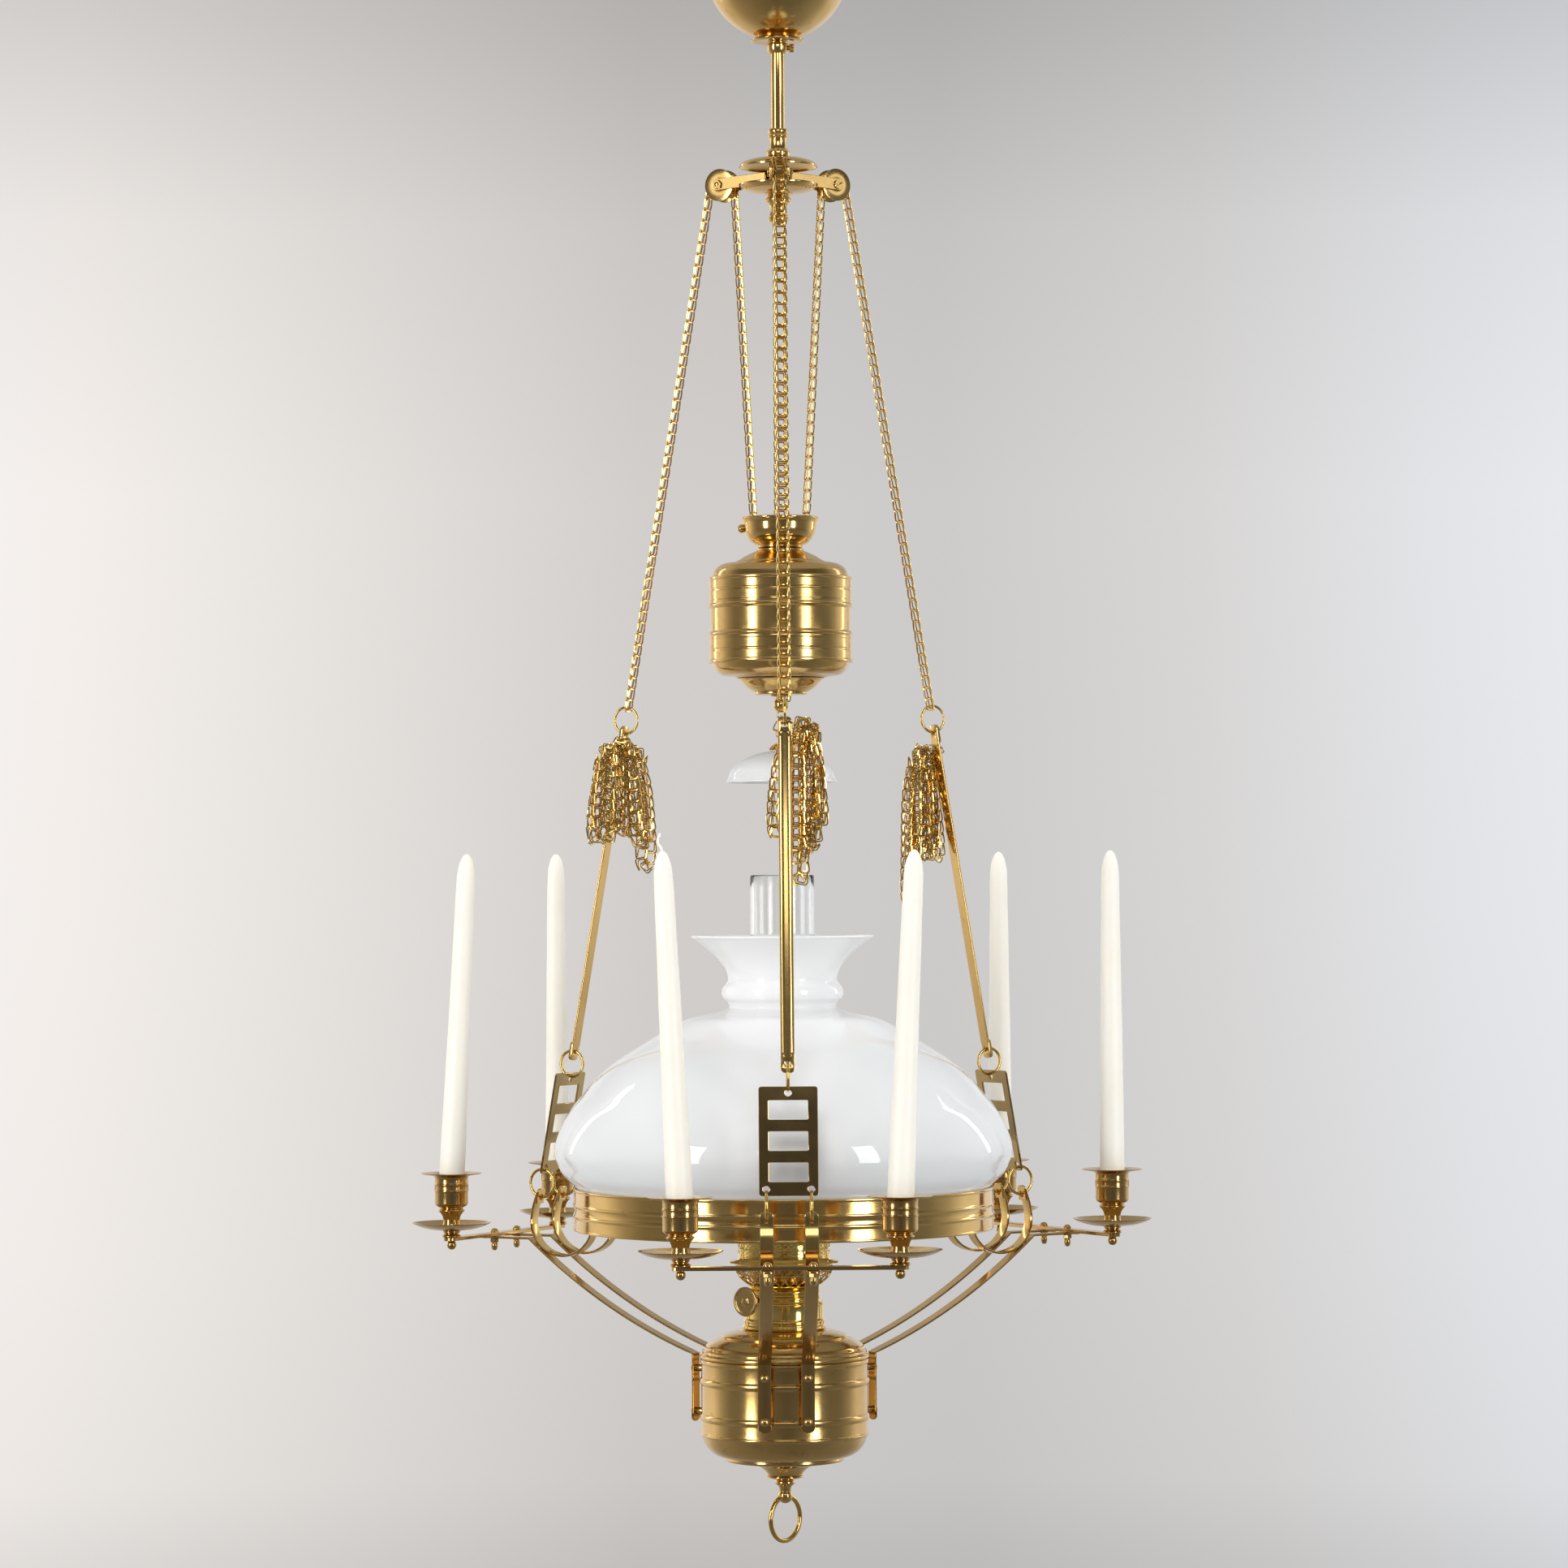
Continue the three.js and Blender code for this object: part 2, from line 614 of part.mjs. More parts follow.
const hookHole = smallRingCentre + smallRingMean
  + seat(LADDER_HOLE_RADIUS, SMALL_RING_WIRE, GAP, STRAP_THICKNESS * 2, RING_STEPS);

// The chain lies as a ladder band: up the taut line, over the pulley and down to the weight cup
const cupFloor = WEIGHT_TOP - WEIGHT_CUP_HEIGHT + 2;
const lugRadial = WEIGHT_CUP_RADIUS - 8;
const lugLevel = WEIGHT_TOP - 6;
const innerEnd = { x: lugRadial, z: lugLevel + GAP };
const innerReach = Math.hypot(PULLEY_OFFSET - innerEnd.x, pulleyLevel - innerEnd.z);
const innerSlope = Math.atan2(PULLEY_OFFSET - innerEnd.x, pulleyLevel - innerEnd.z)
  - Math.asin(CHAIN_SEAT_RADIUS / innerReach);
const wrapAngle = Math.PI - slope - innerSlope;
const wrapLength = CHAIN_SEAT_RADIUS * wrapAngle;
const innerLength = Math.sqrt(innerReach ** 2 - CHAIN_SEAT_RADIUS ** 2);
const chainLength = chainEnd + wrapLength + innerLength;
const chainLinks = Math.round((chainLength - CHAIN_WIRE) / CHAIN_PITCH);
const chainStep = (chainLength - CHAIN_WIRE) / chainLinks;

// Place and outward normal of the chain's middle, at a distance from its lower outer end
function chainAt(distance) {
  if (distance <= chainEnd) {
    const point = onLine(chainEnd - distance);
    return { x: point.x, z: point.z, nx: Math.cos(slope), nz: Math.sin(slope) };
  }
  const past = distance - chainEnd;
  const angle = slope + Math.min(past / CHAIN_SEAT_RADIUS, wrapAngle);
  const straight = Math.max(past - wrapLength, 0);
  const [nx, nz] = [Math.cos(angle), Math.sin(angle)];
  return {
    x: PULLEY_OFFSET + CHAIN_SEAT_RADIUS * nx - straight * nz,
    z: pulleyLevel + CHAIN_SEAT_RADIUS * nz + straight * nx,
    nx,
    nz,
  };
}

// A flat stretch of the ladder between two distances, with the windows of the links it holds
function chainStretch(from, to, firstLink, lastLink) {
  const half = CHAIN_WIDTH / 2;
  const middle = (from + to) / 2;
  const outline = shapeOf([
    [half, from],
    [half, middle],
    [half, to],
    [-half, to],
    [-half, middle],
    [-half, from],
  ]);
  for (let link = firstLink; link < lastLink; link += 1) {
    const low = link * chainStep + CHAIN_WIRE;
    const high = (link + 1) * chainStep;
    const wide = half - CHAIN_WIRE;
    const hook = link === 0 ? [[-wide / 2, low], [wide / 2, low]] : [[0, low]];
    outline.holes.push(shapeOf([...hook, [wide, high], [-wide, high]]));
  }
  const flat = closed(new THREE.ExtrudeGeometry(outline, { depth: CHAIN_WIRE, bevelEnabled: false }));
  const position = flat.getAttribute('position');
  for (let i = 0; i < position.count; i += 1) {
    const at = chainAt(position.getY(i));
    const out = position.getZ(i) - CHAIN_WIRE / 2;
    position.setXYZ(i, at.x + at.nx * out, position.getX(i), at.z + at.nz * out);
  }
  return flat;
}

// The straight runs are one stretch each, and each link that lies on the pulley is bent by itself
function chainGeometry() {
  const middleOf = (link) => link * chainStep + CHAIN_WIRE / 2;
  const firstBent = Math.floor((chainEnd - CHAIN_WIRE) / chainStep);
  const lastBent = Math.ceil((chainEnd + wrapLength) / chainStep);
  const stretches = [
    chainStretch(0, middleOf(firstBent), 0, firstBent),
    chainStretch(middleOf(lastBent), chainLength, lastBent, chainLinks),
  ];
  for (let link = firstBent; link < lastBent; link += 1) {
    stretches.push(chainStretch(middleOf(link), middleOf(link + 1), link, link + 1));
  }
  return joined(...stretches);
}

// The spare chain hangs over the head of the rod in loops: one unbroken band that meanders
// across the rod, each loop with its own drop
const BUNDLE_STEPS = 7;

function bundleRoute(drops, shift) {
  const loops = drops.length;
  const crownLift = 12;
  const points = [];
  for (let step = 0; step <= loops * BUNDLE_STEPS; step += 1) {
    const turn = step / BUNDLE_STEPS;
    const drop = drops[Math.min(Math.floor(turn), loops - 1)];
    const swing = turn - loops / 2 + Math.sin(4 * Math.PI * turn) / (4 * Math.PI);
    const crown = crownLift * ((2 * turn) / loops - 1) ** 2;
    const fall = crown + (drop - crown) * (0.5 - 0.5 * Math.cos(2 * Math.PI * turn));
    points.push(new THREE.Vector2(shift + BUNDLE_SPACING * swing, -(rodTop + 8 + fall)));
  }
  return points;
}

function bundleGeometry(route) {
  const inside = -ROD_THICKNESS / 2 - GAP;
  const corners = route.map((point, i) => {
    const before = route[Math.max(i - 1, 0)];
    const after = route[Math.min(i + 1, route.length - 1)];
    const along = after.clone().sub(before).normalize().multiplyScalar(BUNDLE_WIDTH / 2);
    const [left, right] = [point.y + along.x, point.y - along.x];
    return [
      [inside, point.x - along.y, left],
      [inside - BUNDLE_THICKNESS, point.x - along.y, left],
      [inside - BUNDLE_THICKNESS, point.x + along.y, right],
      [inside, point.x + along.y, right],
    ];
  });
  const faces = [0, 1, 2, 0, 2, 3];
  for (let i = 0; i + 1 < corners.length; i += 1) {
    for (let side = 0; side < 4; side += 1) {
      const next = (side + 1) % 4;
      const [a, b, c, d] = [4 * i + side, 4 * i + next, 4 * i + 4 + next, 4 * i + 4 + side];
      faces.push(a, c, b, a, d, c);
    }
  }
  const last = 4 * (corners.length - 1);
  faces.push(last, last + 2, last + 1, last, last + 3, last + 2);
  const geometry = new THREE.BufferGeometry();
  geometry.setAttribute('position', new THREE.Float32BufferAttribute(corners.flat(2), 3));
  geometry.setIndex(faces);
  return geometry;
}

// Least free space between two runs of a bundle's band that are not neighbours along it
function leastGap(route) {
  let least = Infinity;
  for (let i = 0; i < route.length; i += 1) {
    for (let j = i + 3; j < route.length; j += 1) {
      least = Math.min(least, route[i].distanceTo(route[j]) - BUNDLE_WIDTH);
    }
  }
  return least;
}

const BUNDLES = {
  front: { drops: [86, 70, 100, 118, 96], shift: 18 },
  left: { drops: [88, 102, 74, 66, 92], shift: 2 },
  right: { drops: [74, 96, 122, 84], shift: 4 },
};

function lineParts({ side, azimuth }) {
  const leg = legGroup(azimuth);
  place(`chain_${side}`, chainGeometry(), brass, leg);

  const line = new THREE.Group();
  line.position.set(lineTop.x, 0, lineTop.z);
  line.rotation.y = -slope;
  leg.add(line);

  const back = -ROD_THICKNESS / 2;
  const section = shapeOf([
    [back, -ROD_WIDTH / 2],
    ...arc(back + 1, 0, ROD_THICKNESS - 1, -90, 90, 4, ROD_WIDTH / 2),
    [back, ROD_WIDTH / 2],
  ]);
  const bar = new THREE.ExtrudeGeometry(section, { depth: ROD_LENGTH, bevelEnabled: false })
    .translate(0, 0, -rodTop - ROD_LENGTH);
  const drill = (distance) => pin(ROD_HOLE_RADIUS, -ROD_THICKNESS, ROD_THICKNESS, 8)
    .rotateY(Math.PI / 2)
    .translate(0, 0, -distance);
  const topRing = ring(TOP_RING_RADIUS, TOP_RING_WIRE, RING_STEPS).translate(0, 0, -LINE_TOP_RING);
  place(`rod_${side}`, joined(cut(bar, drill(rodTopHole), drill(rodBottomHole)), topRing), brass, line);

  const ladder = shapeOf([
    [-LADDER_WIDTH / 2, -ladderTop - LADDER_LENGTH],
    [LADDER_WIDTH / 2, -ladderTop - LADDER_LENGTH],
    [LADDER_WIDTH / 2, -ladderTop],
    [-LADDER_WIDTH / 2, -ladderTop],
  ]);
  const firstWindow = ladderTop + (LADDER_LENGTH - 3 * WINDOW_HEIGHT - 2 * WINDOW_BAR) / 2;
  for (let i = 0; i < 3; i += 1) {
    const high = -firstWindow - i * (WINDOW_HEIGHT + WINDOW_BAR);
    const [out, low] = [WINDOW_WIDTH / 2, high - WINDOW_HEIGHT];
    ladder.holes.push(shapeOf([[-out, low], [-out, high], [out, high], [out, low]]));
  }
  const hole = (across, distance) => {
    const path = new THREE.Path();
    path.absarc(across, -distance, LADDER_HOLE_RADIUS, 0, 2 * Math.PI, true);
    return path;
  };
  const across = STRAP_SPACING / 2;
  ladder.holes.push(hole(0, ladderTopHole), hole(-across, ladderBottomHole), hole(across, ladderBottomHole));
  const lowerRing = ring(LOWER_RING_RADIUS, LOWER_RING_WIRE, RING_STEPS).translate(0, 0, -lowerRingCentre);
  const smallRing = (y) => ring(SMALL_RING_RADIUS, SMALL_RING_WIRE, RING_STEPS)
    .translate(0, y, -smallRingCentre);
  place(
    `ladder_plate_${side}`,
    joined(plate(ladder, LADDER_THICKNESS), lowerRing, smallRing(-across), smallRing(across)),
    brass,
    line,
  );

  const { drops, shift } = BUNDLES[side];
  const route = bundleRoute(drops, shift);
  console.log(`chain bundle ${side}: least gap to itself ${leastGap(route).toFixed(2)} mm`);
  place(`chain_bundle_${side}`, bundleGeometry(route), brass, line);
}

// Facets of the turned holder and font, with a corner towards each leg
const HOLDER_SIDES = 18;

// Levels of the shade ring
const shadeRingBottom = SHADE_RING_TOP - SHADE_RING_HEIGHT;
const armTop = ARM_LEVEL + STRAP_THICKNESS / 2;
const barBottom = armTop + GAP;
const barTop = barBottom + BAR_THICKNESS;

// Each hook starts under the wall of the shade ring and bulges out to its full reach
const HOOK_STEPS = 7;
const hookRoot = Math.sqrt((SHADE_RING_RADIUS - SHEET / 2) ** 2 - (STRAP_SPACING / 2) ** 2);
const hookRadial = (HOOK_REACH + hookRoot) / 2;
const hookHalfWidth = (HOOK_REACH - hookRoot) / 2;

function armLine() {
  const bend = new THREE.Vector2(ARM_BEND, ARM_LEVEL);
  const foot = new THREE.Vector2(ARM_FOOT, ARM_FOOT_LEVEL);
  const chord = foot.clone().sub(bend).normalize();
  const control = bend.clone().add(foot).multiplyScalar(0.5);
  control.add(new THREE.Vector2(-chord.y, chord.x).multiplyScalar(-2 * ARM_SAG * Math.sign(-chord.x)));
  const curve = new THREE.QuadraticBezierCurve(bend, control, foot).getPoints(6);
  return [[BAR_RADIAL + ARM_PAST_BAR, ARM_LEVEL], ...curve.map((point) => [point.x, point.y]), [ARM_FOOT, ARM_FOOT_END]];
}

function hookLine(depth) {
  const start = shadeRingBottom - GAP;
  const tip = onLine(hookHole - HOOK_TIP);
  const hole = onLine(hookHole);
  const rise = hookHalfWidth * 0.2;
  const lean = new THREE.QuadraticBezierCurve(
    new THREE.Vector2(HOOK_REACH, start),
    new THREE.Vector2(HOOK_REACH, start + 2 * rise),
    new THREE.Vector2(hole.x, hole.z),
  ).getPoints(2);
  return [
    ...arc(hookRadial, start, hookHalfWidth, 180, 360, HOOK_STEPS, depth),
    ...lean.slice(1).map((point) => [point.x, point.y]),
    [tip.x, tip.z],
  ];
}

// The hook hangs as deep as it takes to lie against the arm, where it is soldered
function hookDepthOnArm() {
  const arm = armLine().map(([x, z]) => new THREE.Vector2(x, z));
  const fine = new THREE.Path(arm).getSpacedPoints(300);
  const wanted = STRAP_THICKNESS - SOLDER;
  let depth = hookHalfWidth / 3;
  const gapAt = (tried) => Math.min(...hookLine(tried).slice(0, HOOK_STEPS + 1).map(([x, z]) => (
    Math.min(...fine.map((point) => Math.hypot(point.x - x, point.y - z)))
  )));
  while (gapAt(depth) > wanted) depth += 0.05;
  return depth;
}

const hookDepth = hookDepthOnArm();

function armParts({ side, azimuth }) {
  const leg = legGroup(azimuth);
  const hookDrill = pin(LADDER_HOLE_RADIUS, -6, 6, 6)
    .rotateY(Math.PI / 2 - slope)
    .translate(onLine(hookHole).x, 0, onLine(hookHole).z);
  const hook = cut(strap(hookLine(hookDepth), STRAP_WIDTH, STRAP_THICKNESS), hookDrill);
  const arm = strap(armLine(), STRAP_WIDTH, STRAP_THICKNESS);
  const outside = ARM_FOOT + STRAP_THICKNESS / 2;
  const spacerRadius = ARM_SCREW_RADIUS - 0.3;
  const wallAcross = STRAP_SPACING / 2 - spacerRadius;
  const beadNear = (level) => HOLDER_BEAD_DROPS.some((drop) => (
    Math.abs(HOLDER_TOP - drop - level) < spacerRadius + HOLDER_BEAD_HALF
  ));
  const wallAt = (level) => {
    const radius = HOLDER_RADIUS + (beadNear(level) ? HOLDER_BEAD : 0);
    return radius - wallAcross * Math.tan(Math.PI / HOLDER_SIDES) + GAP;
  };
  const screws = ARM_SCREW_LEVELS.flatMap((level) => [
    turned([
      [0, outside - 1],
      [ARM_SCREW_RADIUS, outside - 1],
      [ARM_SCREW_RADIUS * 0.6, outside + 2.7],
      [0, outside + 2.7],
    ], 6).rotateY(Math.PI / 2).translate(0, 0, level),
    pin(spacerRadius, wallAt(level), ARM_FOOT, 6).rotateY(Math.PI / 2).translate(0, 0, level),
  ]);
  const underArm = ARM_LEVEL - STRAP_THICKNESS / 2;
  const acorn = turned([
    [0, underArm + 0.5],
    [BOLT_RADIUS + 0.4, underArm + 0.5],
    [BOLT_RADIUS + 0.4, underArm - 3.3],
    [BOLT_RADIUS - 0.6, underArm - 3.3],
    [BOLT_RADIUS - 1.4, underArm - BOLT_TAIL],
    [0, underArm - BOLT_TAIL],
  ], 6).translate(BAR_RADIAL, 0, 0);
  [['a', -1], ['b', 1]].forEach(([mark, sign]) => {
    const mesh = place(`arm_strap_${side}_${mark}`, joined(arm, hook, acorn, ...screws), brass, leg);
    mesh.position.y = sign * (STRAP_SPACING / 2);
  });
}

// Levels of a candle socket, worked up from the bar
const washerTop = barTop + 5;
const panBottom = washerTop + 1.2;
const panRim = panBottom + PAN_DEPTH;
const socketCupBottom = panBottom + 22;
const socketCupTop = socketCupBottom + CUP_HEIGHT;
const candleFloor = socketCupTop - CUP_BORE_DEPTH;

function socketGeometry() {
  const nut = barBottom - BALL_NUT_RADIUS + 0.6;
  return turned([
    ...arc(0, nut, BALL_NUT_RADIUS, -90, 40, 2),
    [SOCKET_WASHER - 4, barTop - 0.5],
    [SOCKET_WASHER, barTop - 0.5],
    [SOCKET_WASHER, washerTop],
    [SOCKET_WASHER - 2.5, washerTop],
    [PAN_RADIUS * 0.55, panBottom + PAN_DEPTH * 0.2],
    [PAN_RADIUS, panRim],
    [PAN_RADIUS * 0.5, panBottom + PAN_DEPTH * 0.2 + 1],
    [SOCKET_STEM, panRim - 2],
    [SOCKET_BEAD - 2, socketCupBottom - 6.5],
    [SOCKET_BEAD, socketCupBottom - 4.5],
    [CUP_RADIUS, socketCupBottom],
    [CUP_RADIUS, socketCupTop - 3],
    [CUP_FLANGE, socketCupTop],
    [CANDLE_RADIUS + CANDLE_PLAY, socketCupTop - 1],
    [CANDLE_RADIUS + CANDLE_PLAY, candleFloor],
    [0, candleFloor],
  ], 9);
}

function candleBarParts({ side, azimuth }) {
  const leg = legGroup(azimuth);
  const bar = block(BAR_WIDTH, BAR_LENGTH, BAR_THICKNESS, BAR_RADIAL, 0, (barTop + barBottom) / 2);
  const sockets = [-1, 1].map((sign) => socketGeometry().translate(BAR_RADIAL, sign * CANDLE_OFFSET, 0));
  const bolts = [-1, 1].map((sign) => turned([
    [0, barBottom],
    [BOLT_RADIUS, barBottom],
    [BOLT_RADIUS, barTop + BOLT_HEAD_HEIGHT],
    [0, barTop + BOLT_HEAD_HEIGHT],
  ], 8).translate(BAR_RADIAL, (sign * STRAP_SPACING) / 2, 0));
  place(`candle_bar_${side}`, joined(bar, ...sockets, ...bolts), brass, leg);

  // Each candle stands in its own slight lean, about the middle of its bore
  const right = { x: Math.cos(leg.rotation.z), y: -Math.sin(leg.rotation.z) };
  [['a', -1], ['b', 1]].forEach(([mark, sign]) => {
    const pivot = candleFloor + CUP_BORE_DEPTH / 2;
    const bottom = candleFloor + CANDLE_PLAY * 0.75 - pivot;
    const top = bottom + CANDLE_LENGTH;
    const candle = turned([
      [0, bottom],
      [CANDLE_RADIUS, bottom],
      [CANDLE_TOP_RADIUS, top - CANDLE_TIP],
      [CANDLE_TOP_RADIUS * 0.45, top - CANDLE_TIP * 0.2],
      [0, top],
    ], 10);
    const mesh = place(`candle_${side}_${mark}`, candle, wax, leg);
    mesh.position.set(BAR_RADIAL, sign * CANDLE_OFFSET, pivot);
    const lean = THREE.MathUtils.degToRad(CANDLE_LEAN_ANGLES[`${side}_${mark}`]);
    mesh.quaternion.setFromAxisAngle(new THREE.Vector3(-right.y, right.x, 0), lean);
  });
}

function weightParts() {
  const top = WEIGHT_TOP;
  const cupBottom = top - WEIGHT_CUP_HEIGHT;
  const boltHole = SPINDLE_RADIUS + GAP;
  const cup = turned([
    [boltHole, cupBottom],
    [WEIGHT_NECK, cupBottom],
    [WEIGHT_NECK + 3, cupBottom + 3],
    [WEIGHT_CUP_RADIUS - 4.5, top - 11],
    [WEIGHT_CUP_RADIUS, top - 1.6],
    [WEIGHT_CUP_RADIUS, top],
    [WEIGHT_CUP_RADIUS - 2, top],
    [WEIGHT_CUP_RADIUS - 6, top - 11],
    [WEIGHT_NECK + 1, cupBottom + 3.5],
    [boltHole, cupBottom + 2],
  ], 15);
  const lugs = LEGS.map(({ azimuth }) => block(
    WEIGHT_CUP_RADIUS - lugRadial + 1,
    5,
    2.4,
    (WEIGHT_CUP_RADIUS + lugRadial - 2) / 2,
    0,
    lugLevel - 1.2,
  ).rotateZ(THREE.MathUtils.degToRad(azimuth)));
  const knob = new THREE.SphereGeometry(CUP_KNOB_RADIUS, 6, 4)
    .translate(CUP_KNOB_RADIUS / 3 - WEIGHT_CUP_RADIUS, 0, top - 9.6);
  place('weight_cup', joined(cup, ...lugs, knob), brass);

  const domeTop = cupBottom - GAP;
  const domeFoot = domeTop - WEIGHT_DOME_HEIGHT;
  const bandTop = domeFoot - WEIGHT_SHOULDER_HEIGHT;
  const bandBottom = bandTop - WEIGHT_BAND_HEIGHT;
  const footBottom = bandBottom - WEIGHT_FOOT_HEIGHT;
  const outer = WEIGHT_RADIUS;
  const inner = WEIGHT_RADIUS - SHEET - 1.6;
  const bead = (level) => [[outer, level + 2.4], [outer + 1.1, level], [outer, level - 2.4]];
  place('weight_case', turned([
    [boltHole, domeTop],
    [WEIGHT_NECK + 3, domeTop],
    ...arc(WEIGHT_NECK + 3, domeFoot + 1, WEIGHT_DOME_RADIUS - WEIGHT_NECK - 3, 70, 0, 2, WEIGHT_DOME_HEIGHT - 1),
    [WEIGHT_DOME_RADIUS + 7.5, domeFoot],
    [outer - 2.8, bandTop + 1],
    [outer, bandTop],
    ...bead(bandTop - 22.8),
    ...bead(bandBottom + 22.8),
    [outer, bandBottom],
    [outer - 2.8, bandBottom - 1],
    [WEIGHT_DOME_RADIUS + 1, footBottom],
    [WEIGHT_DOME_RADIUS - 1, footBottom],
    [inner, bandBottom],
    [inner, bandTop],
    [WEIGHT_DOME_RADIUS + 4, domeFoot - SHEET - 2],
    [boltHole, domeFoot - SHEET - 2],
  ], 15), brass);

  const baseTop = footBottom - GAP;
  const baseBottom = baseTop - WEIGHT_BASE_HEIGHT;
  place('weight_base', turned([
    [boltHole, baseBottom],
    [WEIGHT_BASE_RADIUS, baseBottom],
    [WEIGHT_BASE_RADIUS, baseBottom + 2],
    [WEIGHT_BASE_RADIUS + 3, baseBottom + 3],
    [WEIGHT_DOME_RADIUS - 2, baseTop - 2],
    [WEIGHT_DOME_RADIUS, baseTop],
    [boltHole, baseTop],
  ], 14), brass);

  const boltTop = cupFloor + 8;
  const boltBottom = baseBottom - 5;
  const ballastTop = domeFoot - SHEET - 2 - GAP;
  place('weight_ballast', turned([
    [0, boltBottom],
    [SPINDLE_RADIUS, boltBottom],
    [SPINDLE_RADIUS, bandBottom - 1],
    [BALLAST_RADIUS * 0.8, bandBottom - 1],
    [BALLAST_RADIUS, bandBottom + 3],
    [BALLAST_RADIUS, bandBottom + BALLAST_HEIGHT],
    [BALLAST_RADIUS * 0.62, ballastTop],
    [SPINDLE_RADIUS, ballastTop],
    [SPINDLE_RADIUS, cupFloor + GAP],
    [SPINDLE_RADIUS + 3, cupFloor + GAP],
    [SPINDLE_RADIUS + 3, boltTop],
    [0, boltTop],
  ], 12), castIron);

  const ballTop = baseBottom - GAP;
  const ballCentre = ballTop - 1.6 - WEIGHT_BALL;
  const eyeCentre = ballCentre - WEIGHT_BALL - BELL_EYE_RADIUS + BELL_EYE_SINK;
  const boreBottom = boltBottom - GAP;
  const ball = turned([
    [0, boreBottom],
    [boltHole, boreBottom],
    [boltHole, ballTop],
    [WEIGHT_BALL - 0.6, ballTop],
    ...arc(0, ballCentre, WEIGHT_BALL, 55, -90, 4),
  ], 12);
  const eye = ring(BELL_EYE_RADIUS + BELL_RING_WIRE / 2, BELL_RING_WIRE, 10, 5).translate(0, 0, eyeCentre);
  place('weight_finial', joined(ball, eye), brass);

  return eyeCentre - BELL_EYE_RADIUS;
}

// The smoke bell's ring hangs in the eye under the counterweight, turned square to it, and holds
// the eye of the bell's cap
function bellParts(eyeBottom) {
  const ringMean = BELL_RING_RADIUS - BELL_RING_WIRE / 2;
  const ringCentre = eyeBottom + BELL_RING_WIRE + GAP * 2 - ringMean;
  const eyeCentre = ringCentre - ringMean + BELL_RING_WIRE - RING_SOLDER - BELL_CAP_EYE_RADIUS;
  const capTop = eyeCentre - BELL_CAP_EYE_RADIUS;
  const capRim = capTop - BELL_CAP_HEIGHT;
  const link = ring(BELL_RING_RADIUS, BELL_RING_WIRE, 12).rotateZ(Math.PI / 2).translate(0, 0, ringCentre);
  const eye = ring(BELL_CAP_EYE_RADIUS + BELL_RING_WIRE / 2, BELL_RING_WIRE, 8).translate(0, 0, eyeCentre);
  const glassTop = capRim - GAP;
  const cap = turned([
    [0, capTop],
    [2.6, capTop - 0.6],
    [4, capTop - 3],
    [BELL_CAP_RADIUS - 1, capRim + 3],
    [BELL_CAP_RADIUS, capRim],
    [BELL_BOLT, capRim],
    [BELL_BOLT, glassTop - BELL_WALL - 3 * GAP],
    [6, glassTop - BELL_WALL - 3 * GAP],
    [6, glassTop - BELL_WALL - 3],
    [0, glassTop - BELL_WALL - 3],
  ], 10);
  place('smoke_bell_cap', joined(link, eye, cap), brass);

  const rim = glassTop - BELL_HEIGHT;
  const drop = BELL_HEIGHT - BELL_WALL;
  place('smoke_bell', turned([
    [BELL_BOLT + GAP, glassTop],
    [BELL_CAP_RADIUS, glassTop],
    ...arc(0, rim, BELL_RADIUS, 74, 0, 4, BELL_HEIGHT),
    ...arc(0, rim, BELL_RADIUS - BELL_WALL, 0, 74, 3, drop),
    [BELL_BOLT + GAP, glassTop - BELL_WALL],
  ], 16), opalGlass);
}

function shadeParts() {
  const outer = SHADE_RING_RADIUS;
  const inner = SHADE_RING_RADIUS - SHEET;
  const bottom = shadeRingBottom;
  const ledge = SHADE_RING_TOP - SHADE_LEDGE_DEPTH;
  place('shade_ring', turned([
    [inner, bottom],
    [outer, bottom],
    [outer + 0.9, ledge - 10.6],
    [outer, ledge - 5.3],
    [outer + 0.9, ledge],
    [outer, SHADE_RING_TOP],
    [inner, SHADE_RING_TOP],
    [inner, ledge],
    [inner - SHADE_LEDGE_WIDTH, ledge],
    [inner - SHADE_LEDGE_WIDTH, ledge - SHEET],
    [inner, ledge - SHEET],
  ], SHADE_SIDES), brass);

  const fitter = inner - SHADE_FITTER_INSET;
  const foot = ledge + GAP;
  const rim = foot + SHADE_HEIGHT;
  const neckTop = rim - SHADE_NECK_DROP;
  const neckFoot = rim - SHADE_COLLAR_DROP;
  const fromRing = (inset, rise) => [SHADE_RADIUS - inset, SHADE_RING_TOP + rise];
  place('glass_shade', turned(walled([
    [fitter, foot],
    [fitter, SHADE_RING_TOP + 1],
    fromRing(SHADE_LIP_INSET, SHADE_LIP_RISE),
    fromRing(0, SHADE_WIDEST_RISE),
    fromRing(SHADE_SHOULDER_INSET, SHADE_SHOULDER_RISE),
    fromRing(SHADE_SLOPE_INSET, SHADE_SLOPE_RISE),
    fromRing(SHADE_CROWN_INSET, SHADE_CROWN_RISE),
    fromRing(SHADE_TOP_INSET, SHADE_TOP_RISE),
    [SHADE_THROAT, neckFoot - SHADE_THROAT_DROP],
    [SHADE_NECK, neckFoot],
    [SHADE_BULGE, (neckTop + neckFoot) / 2],
    [SHADE_NECK + 1, neckTop],
    [SHADE_MOUTH_FLARE, rim - SHADE_FLARE_DROP],
    [SHADE_MOUTH, rim],
  ], SHADE_WALL), SHADE_SIDES), opalGlass);
}

